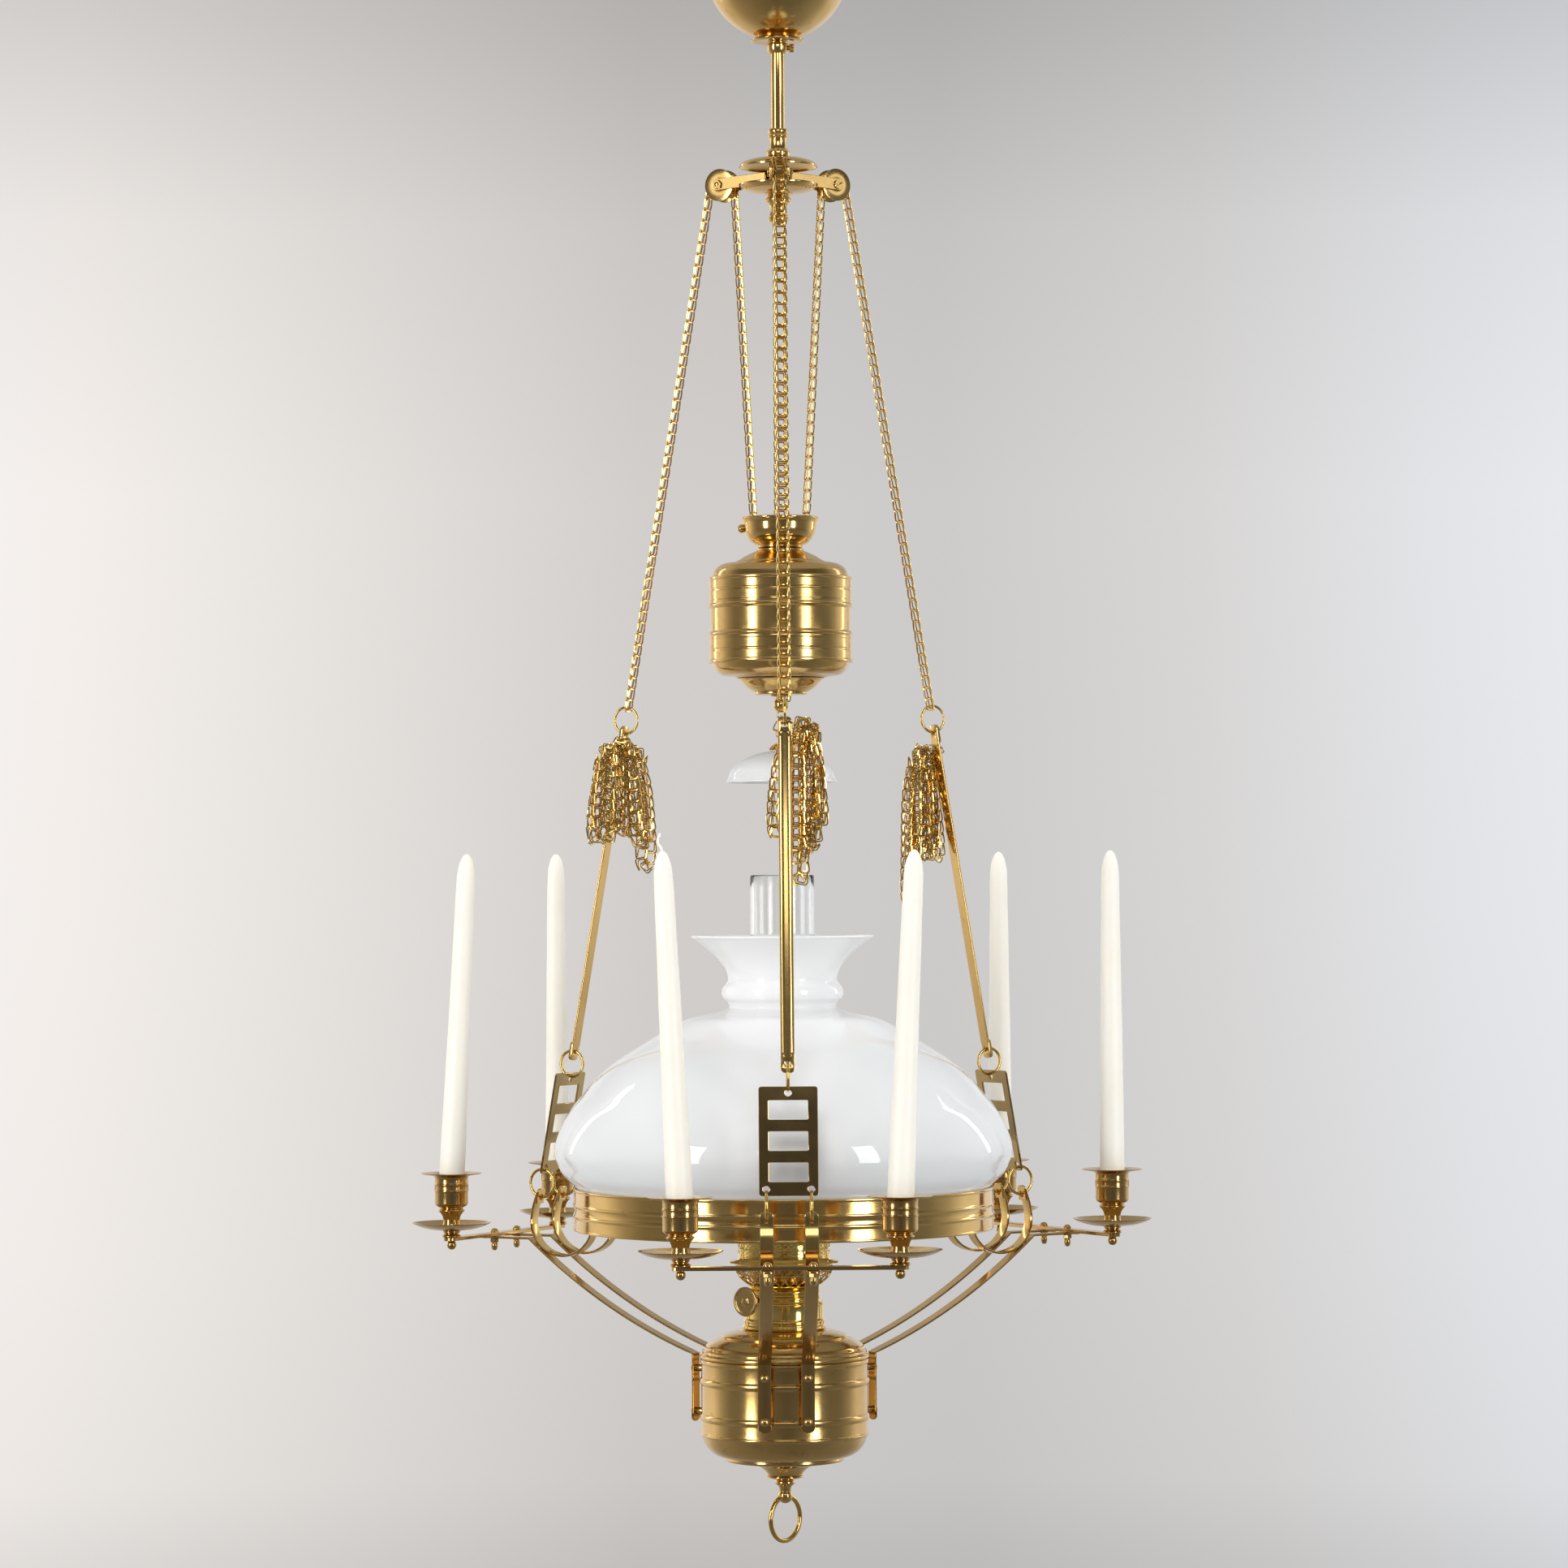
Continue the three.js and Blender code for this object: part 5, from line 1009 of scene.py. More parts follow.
def build_arm(side, mark, sign):
    place = leg(side) @ move(0, sign * STRAP_SPACING / 2, 0)
    arm = strap(arm_line(), STRAP_WIDTH, STRAP_THICKNESS)
    arm.add(rounded_tip(ARM_TIP - 4.2, ARM_LEVEL, (1, 0), STRAP_WIDTH, STRAP_THICKNESS - 0.3))
    arm.add(rounded_tip(ARM_FOOT, ARM_FOOT_END + 4.2, (0, -1), STRAP_WIDTH, STRAP_THICKNESS - 0.3))
    make(f"arm_{side}_{mark}", arm.moved(place), aged, "lamp_frame",
         f"arm_strap_{side}_{mark}", sharp=PLATE)

    hook = strap(hook_line(HOOK_DEPTH), STRAP_WIDTH, STRAP_THICKNESS, 0.25)
    tip = filleted([(-STRAP_WIDTH / 2, 5.5, 0), (STRAP_WIDTH / 2, 5.5, 0), (STRAP_WIDTH / 2, -7.7, 4.2),
                    (-STRAP_WIDTH / 2, -7.7, 4.2)], 4.0, True, 5)
    end = flat_plate([(x, -y) for x, y in tip], [circle(EYELET, 24)], STRAP_THICKNESS, 0.4)
    x, z = on_line(HOOK_HOLE)
    hook.add(end, move(x, 0, z) @ SLANT @ UPRIGHT)
    make(f"hook_{side}_{mark}", hook.moved(place), polished, "lamp_frame", sharp=PLATE)
    reach = STRAP_WIDTH / 2 - 0.6
    bead = turned([
        *shifted(0, -reach, (0, 0), (1.6, 0.4, 0.8), (2.1, 2)),
        (1.9, 0), (2.1, reach - 2), (1.6, reach - 0.4, 0.8), (0, reach),
    ], 1.0, 20)
    solder = bead.moved(place @ move(SOLDER_AT[0], 0, SOLDER_AT[1]) @ turn(90, "X"))
    make(f"hook_solder_{side}_{mark}", solder, aged, "lamp_frame")

    hardware = Shape()
    outside = ARM_FOOT + STRAP_THICKNESS / 2
    for level in ARM_SCREWS:
        hardware.add(dome_screw(3.5, 2.6, 2), move(outside, 0, level) @ turn(90, "Y"))
        hardware.add(turned([(0, -7), (3.1, -7), (3.1, 0), (0, 0)], 0.2, 20),
                     move(ARM_FOOT - 1.1, 0, level) @ turn(90, "Y"))
    under = ARM_LEVEL - STRAP_THICKNESS / 2
    hardware.add(prism(circle(4.0, 6), under - 3.3, under, 0.4), move(BAR_RADIAL, 0, 0))
    hardware.add(turned([
        *shifted(0, under, (0, -10.4), (1.6, -10.3, 0.8), (2.8, -8.2, 1.2), (3.1, -5.5, 1.0), (2.6, -3.0),
            (0, -3.0)),
    ], 0.4, 24),
                 move(BAR_RADIAL, 0, 0))
    make(f"arm_hardware_{side}_{mark}", hardware.moved(place), cast, "lamp_frame")


bar_bottom = ARM_LEVEL + STRAP_THICKNESS / 2 + 0.3
bar_top = bar_bottom + 3.0
washer_top = bar_top + 5
pan_bottom = washer_top + 1.2
pan_rim = pan_bottom + 6.5
socket_bottom = pan_bottom + 22
socket_top = socket_bottom + 27


def candle_socket():
    nut = bar_bottom - 4.15 + 0.6
    bore = 12.55
    floor = socket_top - 25
    outline = [
        *arc(0, nut, 4.15, -90, 50, 10), (4.4, bar_bottom + 0.2, 0.3),
        *shifted(0, bar_top, (4.4, -0.2, 0.3), (7.7, 0), (8.2, 0.8), (7.9, 2.0, 0.6), (6.4, 2.6),
            (6.1, 3.6)),
        (7.4, washer_top - 0.6, 0.4), (7.2, washer_top + 0.4, 0.4),
        *shifted(0, pan_bottom, (11.0, 0, 1.5), (19.5, 0.9, 4), (27.0, 2.9, 3)),
        *shifted(0, pan_rim, (32.0, -1.3, 1.2), (33.6, -0.6, 0.4), (33.9, 0, 0.3), (32.9, 0.1, 0.3),
            (30.8, -1.0, 0.8)),
        *shifted(0, pan_bottom, (26.0, 3.6, 3), (18.5, 1.8, 3), (10.5, 1.5, 1.5), (8.4, 2.8, 0.8)),
        (7.6, pan_rim - 1.5, 1.0),
        *shifted(0, socket_bottom, (7.0, -12.5, 1.5), (7.9, -9.6, 1), (9.6, -7.0, 0.8), (11.5, -5.6, 0.7),
            (11.2, -4.3, 0.5), (9.6, -3.6, 0.4), (9.8, -2.9, 0.4), (13.4, -1.0, 1.0), (14.25, 0.6, 0.6),
            (14.25, 10.9), (14.75, 11.3, 0.2), (14.75, 12.1, 0.2), (14.3, 12.4, 0.2), (14.3, 16.6, 0.2),
            (14.75, 16.9, 0.2), (14.75, 17.7, 0.2), (14.25, 18.1)),
        *shifted(0, socket_top, (14.25, -3.4, 1.0), (17.5, -1.9, 1.5), (25.2, -0.9, 0.4),
            (26.3, -0.2, 0.3), (25.4, 0.1, 0.3), (17.0, -0.9, 1.5), (13.6, -1.6, 0.8)),
        (bore, socket_top - 3.2, 0.6), (bore, floor), (0, floor),
    ]
    socket = turned(outline, 0.3, 80)
    knurl = (socket_bottom + 12.3, socket_bottom + 16.7)
    return warped(socket, lambda r, a, z: (
        r + (0.16 * math.cos(40 * a) if 14 < r < 14.6 and knurl[0] < z < knurl[1] else 0), z))


def candle_shape(mark, wick_shown):
    """A dipped taper with a soft unevenness; the origin is its foot."""
    length, foot_radius, top_radius, body_steps = 298.0, 11.15, 7.85, 36
    chance = random.Random(mark)
    phases = [chance.uniform(0, 6.28) for _ in range(4)]
    outline = [(0, 0), (10.9, 0, 0.6), (foot_radius, 1.2, 0.6)]
    for k in range(1, body_steps):
        radius = foot_radius + (top_radius - foot_radius) * k / body_steps
        outline.append((radius, 1.2 + (length - 27) * k / body_steps, 0))
    outline += [
        *shifted(0, length, (7.6, -19, 2), (6.9, -12.5, 3), (5.6, -7.0, 3), (3.9, -2.9, 1.5),
            (2.0, -0.6, 1.0), (0, 0)),
    ]
    body = turned(outline, 0.5, 40, 3)

    def uneven(r, a, z):
        sway = 0.09 * math.sin(z / 37 + phases[0]) + 0.06 * math.sin(z / 11 + 2 * a + phases[1])
        sway += 0.05 * math.sin(3 * a + z / 60 + phases[2])
        return r + (sway if r > 5 and z > 26 else 0), z

    body = warped(body, uneven)
    if wick_shown:
        path = smooth([
            (0, 0, length - 4), (-0.6, 0.2, length + 2), (-2.6, 0.3, length + 5), (-3.0, 0.2, length + 9),
            (-1.4, 0.1, length + 12), (-1.6, 0, length + 14)], 4)
        body.add(sweep(path, circle(1.1, 8)))
    return body


def build_candles(side):
    bar = flat_plate(rounded_box(11.0, 188.0, 4.6, 5), [], 3.0, 0.4)
    bar = bar.moved(move(BAR_RADIAL, 0, (bar_top + bar_bottom) / 2))
    for sign in (-1, 1):
        bar.add(dome_screw(3.6, 3.4, 2.5), move(BAR_RADIAL, sign * STRAP_SPACING / 2, bar_top))
    make(f"bar_{side}", bar.moved(leg(side)), aged, "lamp_frame", f"candle_bar_{side}", sharp=PLATE)
    socket = candle_socket()
    for mark, sign in (("a", -1), ("b", 1)):
        place = leg(side) @ move(BAR_RADIAL, sign * CANDLE_OFFSET, 0)
        make(f"socket_{side}_{mark}", socket.moved(place), aged, "lamp_frame")
        name = f"{side}_{mark}"
        pivot = socket_top - 12.5
        stand = place @ Vector((0, 0, pivot))
        foot = move(*stand) @ turn(CANDLE_LEAN.get(name, 0), "Y") @ move(0, 0, -11.45)
        make(f"candle_{name}_wax", candle_shape(name, name == "front_a").moved(foot), wax,
             f"candle_body_{name}", f"candle_{name}")


# Counterweight and smoke bell

def build_weight():
    top, bottom = weight_top, low("weight_cup")
    cup = turned([
        *shifted(0, bottom, (4.4, 0), (18, 0, 0.4), (19.6, 1.0, 0.5), (19.0, 2.4, 0.5), (21.4, 3.3, 1.0),
            (25.8, 5.8, 3), (29.0, 10.2, 4), (30.8, 15.4, 4)),
        *shifted(0, top, (31.4, -5.0, 1.5), (32.4, -2.6, 0.6), (33.4, -1.3, 0.6), (32.9, -0.2, 0.5),
            (31.6, 0, 0.4), (30.8, -1.4, 0.6), (30.2, -5.0, 1.5)),
        *shifted(0, bottom, (29.6, 15.4, 4), (27.8, 10.4, 4), (24.8, 6.8, 3), (18.6, 3.2, 2), (4.4, 2)),
    ], 0.4, 112, 3)
    for azimuth in LEGS.values():
        lug = flat_plate(rounded_box(9.2, 5.0, 1.4), [], 2.4, 0.3)
        cup.add(lug, turn(azimuth, "Z") @ move(26.2, 0, top - 7.2))
    make("weight_bowl", cup, polished, "counterweight", "weight_cup")
    knob = turned([
        (0, -4.2), (1.3, -4.2), (1.3, -3.0), (2.0, -2.7, 0.3), *arc(0, 0.6, 3.7, -48, 90, 8), (0, 4.3),
    ], 0.2, 32)
    knob = knob.moved(move(-32.0, 0, top - 9.6) @ turn(-90, "Y"))
    make("weight_bowl_knob", knob, polished, "counterweight")

    dome_top = high("weight_case")
    foot = low("weight_case")
    dome_foot = dome_top - 11.4
    band_top = dome_foot - 14.0
    band_bottom = foot + 13.6
    outer = 60.9
    step = 22.8

    def edge_bead(level, way):
        """The rolled edge where a band meets the waist of the case; way is +1 on its upper side."""
        return shifted(outer, level, (-1.1, -2.8 * way, 0.6), (0.7, -1.6 * way, 0.8), (0.9, 0, 0.8),
                       (-0.2, 1.4 * way, 0.5), (0.1, 3.0 * way, 0.6), (-0.3, 4.6 * way, 0.6))

    make("weight_case_spun", turned([
        *shifted(0, dome_top, (4.4, 0), (19.4, 0, 0.4), (20.6, -0.5, 0.5), (20.2, -1.7, 0.5),
            (23.0, -3.0, 1.5), (30.0, -6.2, 4)),
        *shifted(0, dome_foot, (35.2, 2.0, 2.5), (37.6, 0.9, 0.7), (38.4, -0.2, 0.5), (41.5, -0.6, 1.5)),
        *arc(outer - 16.5, band_top + 0.8, 13.6, 78, 14, 8, 12.2),
        *shifted(outer, band_top, (-2.8, 2.4, 0.5), (-2.4, 1.0, 0.4), (0.6, 0.5, 0.4), (0.6, -1.2, 0.4),
            (-0.1, -1.9, 0.4), (-0.1, -8.6, 0.6), (-0.5, -9.3, 0.4), (-0.4, -10.4, 0.4), (0, -11.2, 0.6)),
        *reversed(edge_bead(band_top - step, 1)), *edge_bead(band_bottom + step, -1),
        *shifted(outer, band_bottom, (0, 11.2, 0.6), (-0.4, 10.4, 0.4), (-0.5, 9.3, 0.4), (-0.1, 8.6, 0.6),
            (-0.1, 1.9, 0.4), (0.6, 1.2, 0.4), (0.6, -0.6, 0.4), (-2.4, -1.1, 0.4), (-2.8, -2.2, 0.5)),
        *arc(outer - 16.5, band_bottom - 0.6, 13.6, -14, -70, 7, 11.4), (40.5, foot + 1.4, 0.8),
        (38.5, foot + 0.2, 0.4), (36.5, foot), (56.0, band_bottom - 4, 3), (58.1, band_bottom, 2),
        (58.1, band_top, 2), (44.0, dome_foot - 3.2, 4), (4.4, dome_foot - 3.2),
    ], 0.4, 128, 3), spun, "counterweight", "weight_case")

    base_top, base_bottom = high("weight_base"), low("weight_base")
    make("weight_foot_cone", turned([
        *shifted(0, base_bottom, (4.4, 0), (21.5, 0, 0.4), (22.6, 0.8, 0.5), (22.2, 2.2, 0.5),
            (24.4, 3.2, 1.2), (30.2, 7.0, 4)),
        *shifted(0, base_top, (34.0, -2.6, 1.5), (35.8, -1.2, 0.5), (36.4, 0), (4.4, 0)),
    ], 0.4, 96, 3), polished, "counterweight", "weight_base")

    ball_top = base_bottom - GAP
    ball_centre = ball_top - 8.2
    make("weight_ball", turned([
        *shifted(0, ball_top, (0, 0.4), (8.6, 0.3, 0.3), (9.0, -0.4, 0.3), (8.4, -1.1, 0.3),
            (4.6, -1.6, 0.4), (4.2, -2.4, 0.3)),
        *arc(0, ball_centre, 6.6, 48, -90, 12),
    ], 0.3, 64), polished, "counterweight", "weight_finial")
    eye_centre = low("weight_finial") + 3.95
    eye = [(x, 0, z) for x, z in arc(0, eye_centre, 3.2, -250, 70, 32)]
    make("weight_eye", sweep(eye, circle(0.75), False, along_y), wire_brass, "counterweight")
    make("weight_ballast_cast", turned([
        (0, base_bottom - 5), (4.1, base_bottom - 5),
        *shifted(0, band_bottom, (4.1, -1), (44.4, -1, 2), (55.5, 3, 3), (55.5, 68, 3)),
        (34.4, dome_foot - 3.5, 2), (4.1, dome_foot - 3.5),
        *shifted(0, bottom, (4.1, 2.3), (7.1, 2.3), (7.1, 10), (0, 10)),
    ], 0.5, 72), ballast_iron, "counterweight", "weight_ballast")


def build_bell():
    cap_rim = high("smoke_bell") + GAP
    cap_top = cap_rim + 9.5
    eye_centre = cap_top + 4.2
    ring_centre = high("smoke_bell_cap") - 6.5
    link_ring = ring(6.5, 1.5, 40, 10).moved(move(0, 0, ring_centre) @ turn(90, "Z"))
    make("bell_ring", link_ring, wire_brass, "smoke_bell_set")
    eye = ring(4.95, 1.5, 36, 10).moved(move(0, 0, eye_centre))
    make("bell_eye", eye, wire_brass, "smoke_bell_set")
    cap = turned([
        *shifted(0, cap_top, (0, 0.2), (2.4, 0, 0.8), (3.2, -1.6, 0.6), (2.8, -3.0, 0.6),
            (4.6, -4.4, 1.2)),
        *shifted(0, cap_rim, (7.6, 3.4, 1.5), (9.4, 1.2, 0.8), (10.0, 0.3, 0.2), (9.6, 0, 0.2), (2.2, 0)),
        *shifted(0, low("smoke_bell_cap"), (2.2, 2), (6, 2, 0.3), (6, 0, 0.3), (0, 0)),
    ][::-1], 0.3, 96, 2)

    def leafed(r, a, z):
        if z <= cap_rim - 0.2:
            return r, z
        edge = min(max((r - 3) / 6, 0), 1) if r < 10.1 else 0
        droop = min(max((r - 4) / 6, 0), 1)
        return r * (1 + 0.07 * math.cos(10 * a) * edge), z + 0.5 * (math.cos(10 * a) - 1) * droop

    cap = warped(cap, leafed)
    make("bell_cap_leafed", cap, polished, "smoke_bell_set", "smoke_bell_cap")
    top, rim = high("smoke_bell"), low("smoke_bell")
    height = top - rim
    make("bell_glass", turned([
        (2.5, top), (9.6, top - 0.1, 0.6), *arc(0, rim + 2.8, 45.2, 76, 6, 18, height - 3.2),
        *shifted(0, rim, (46.3, 2.6, 0.8), (47.3, 1.6, 0.8), (46.9, 0.3, 0.7), (45.4, 0, 0.6),
            (44.0, 0.9, 0.6)),
        *arc(0, rim + 2.0, 42.8, 4, 74, 14, height - 4.6), (2.5, top - 2.4),
    ], 0.4, 112), bell_opal, "smoke_bell_set", "smoke_bell")


# Shade, font, burner and chimney

def build_shade():
    top, bottom = high("shade_ring"), low("shade_ring")
    outer, inner = RING_RADIUS, RING_RADIUS - 1.2
    ledge = top - 12.0
    make("shade_ring_rolled", turned([
        (inner, bottom),
        *shifted(outer, bottom, (-0.4, 0, 0.3), (0.4, 0.6, 0.4), (0.4, 1.6, 0.4), (0, 2.2, 0.3)),
        *shifted(outer, ledge, (0, -12.2, 0.8), (1.0, -10.6, 1.2), (0, -9.0, 0.8), (-0.3, -6.8, 0.6),
            (0, -3.4, 0.8), (0.9, -1.8, 1.2), (0, -0.2, 0.8)),
        *shifted(outer, top, (0, -2.4, 0.4), (0.5, -1.7, 0.4), (0.5, -0.5, 0.4), (-0.3, 0, 0.3)),
        (inner, top),
        *shifted(inner, ledge, (0, 0), (-8, 0), (-8, -1.2), (0, -1.2)),
    ], 0.3, 160, 3), polished, "lamp_frame", "shade_ring")

    foot, rim = low("glass_shade"), high("glass_shade")
    neck_foot, neck_top = rim - 60.5, rim - 37.5
    radius = 193.9
    fitter = inner - 0.9
    control = [
        (fitter, foot), (fitter, foot + 9), (fitter + 1.6, top + 2.0),
        *shifted(radius, top, (-8.0, 10.5), (-2.2, 21.0), (0, 31.5), (-2.9, 44.5), (-10.2, 60.0),
            (-20.9, 74.7), (-46.0, 101.7), (-85.0, 127.0)),
        *shifted(0, neck_foot, (83.0, -10.9), (62.0, -5.6), (50.0, -2.4), (45.4, -0.2), (46.6, 3.6),
            (50.4, 7.4), (51.7, 11.5), (50.6, 16.2)),
        *shifted(0, neck_top, (47.2, -2.2), (46.2, 1.0), (48.6, 9.0)),
        (56.4, rim - 18.4), (66.6, rim - 9.4), (75.6, rim - 2.6),
    ]
    outside = smooth(control, 5)
    wall = 2.6
    inside = []
    for i, point in enumerate(outside):
        before, after = Vector(outside[max(i - 1, 0)]), Vector(outside[min(i + 1, len(outside) - 1)])
        along = (after - before).normalized()
        inside.append((point[0] - along.y * wall, point[1] + along.x * wall))
    lip = [
        *shifted(0, rim, (77.2, -1.9), (77.6, -1.0), (77.2, -0.2), (76.0, 0), (74.4, -0.4), (73.0, -1.9)),
    ]
    make("shade_opal", lathe([*outside, *lip, *reversed(inside)], 192), opal_with_painted_neck_light, "shade",
         "glass_shade", sharp=SHADE_CREASE)


def build_holder():
    top, bottom = high("font_holder"), low("font_holder")
    outer, inner = 70.5, 69.3
    straight = top - 60.0
    bowl = 50.5

    def bead(level):
        return shifted(outer, level, (0, 3.4, 0.6), (0.5, 2.7, 0.4), (1.4, 1.2, 0.8), (1.4, -1.2, 0.8),
                       (0.5, -2.7, 0.4), (0, -3.4, 0.6))

    make("holder_spun", turned([
        (0, bottom),
        *shifted(bowl, bottom, (-1, 0, 1.0), (0.4, 1.4, 0.8), (-0.3, 3.6, 0.8)),
        *arc(bowl - 0.5, straight, outer - bowl + 0.5, -78, -14, 14, straight - bottom - 3.6),
        *shifted(outer, straight, (-0.2, -5.2, 0.4), (1.0, -4.4, 0.5), (1.0, -2.8, 0.5), (0, -2.0, 0.4)),
        *bead(top - 49), *bead(top - 19),
        *shifted(outer, top, (0, -4.4, 0.5), (0.8, -3.6, 0.4), (0.8, -1.0, 0.5), (0, 0, 0.3)),
        (inner, top), *arc(bowl - 0.5, straight, inner - bowl + 0.5, 0, -74, 12, straight - bottom - 5.0),
        (bowl - 4, bottom + 1.6, 1), (0, bottom + 1.6),
    ], 0.4, 144, 3), spun, "lamp_frame", "font_holder")

    top = high("holder_base")
    ball = top - 30.0
    make("holder_base_cone", turned([
        *shifted(0, top, (0, 0), (26.4, 0, 0.4), (27.6, -0.8, 0.5), (26.9, -2.2, 0.5), (22.4, -4.2, 1.5),
            (16.8, -8.4, 3), (14.4, -11.6, 1.2), (15.8, -12.6, 0.5), (15.9, -13.8, 0.5),
            (11.4, -15.0, 0.5), (7.4, -16.0, 0.5), (8.6, -17.4, 0.8), (8.6, -19.4, 0.8), (6.0, -21.2, 0.6),
            (5.2, -23.0, 0.8), (5.2, -25.0, 0.4)),
        *arc(0, ball, 6.2, 42, -90, 12),
    ], 0.3, 96, 3), polished, "lamp_frame", "holder_base")

    mean, wire = 18.8, 4.3
    pull = ring(mean + wire / 2, wire, 72, 18)
    centre = low("pull_ring") + mean + wire / 2
    make("pull_ring_round", pull.moved(move(0, 0, centre) @ turn(48, "Z")), polished, "pull_ring_body",
         "pull_ring")


def build_font():
    rim = high("font_holder") + GAP
    body, wall = 68.5, 1.5
    rim_radius = 71.8
    top = high("oil_font")
    foot = low("oil_font")
    make("font_tank", turned([
        (0, foot), (body - 16, foot, 2), (body, foot + 14, 4), (body, rim),
        *shifted(rim_radius, rim, (-0.6, 0, 0.4), (0, 0.8, 0.5), (0, 2.8, 0.6), (-1.2, 3.6, 0.4),
            (-2.2, 4.6, 0.5), (-2.0, 6.2, 0.5), (-3.6, 7.2, 0.6), (-5.0, 10.4, 1.5), (-9.0, 13.4, 2)),
        *shifted(0, rim, (57.0, 16.2, 2), (53.4, 17.0, 0.5), (53.8, 18.0, 0.4), (52.4, 19.4, 0.5),
            (46.0, 21.6, 2)),
        (37.4, top - 0.9, 0.6), (36.6, top, 0.4), (22.3, top), (22.3, top - 2), (52, rim + 17 - wall, 2),
        *shifted(body - wall, rim, (-4, 9, 3), (0, 2, 1)),
        (body - wall, foot + 14, 3), (body - 17, foot + wall, 2), (0, foot + wall),
    ], 0.4, 144, 3), polished, "font", "oil_font")


def arch_row(radius_at, low_level, high_level, count, wire, phase=0.0, steps=8):
    """A row of pointed arches that cross each other, drawn in wire on a round wall."""
    row = Shape()
    for k in range(count):
        for sign in (-1, 1):
            base = 2 * math.pi * (k + phase) / count
            path = []
            for i in range(steps + 1):
                t = i / steps
                angle = base + sign * (2 * math.pi / count) * (1 - (1 - t) ** 1.7) * 0.98
                level = low_level + (high_level - low_level) * math.sin(t * math.pi / 2) ** 0.9
                radius = radius_at(level)
                path.append((radius * math.cos(angle), radius * math.sin(angle), level))
            row.add(sweep(path, circle(wire, 6), False, lambda tangent: (0, 0, 1)))
    return row


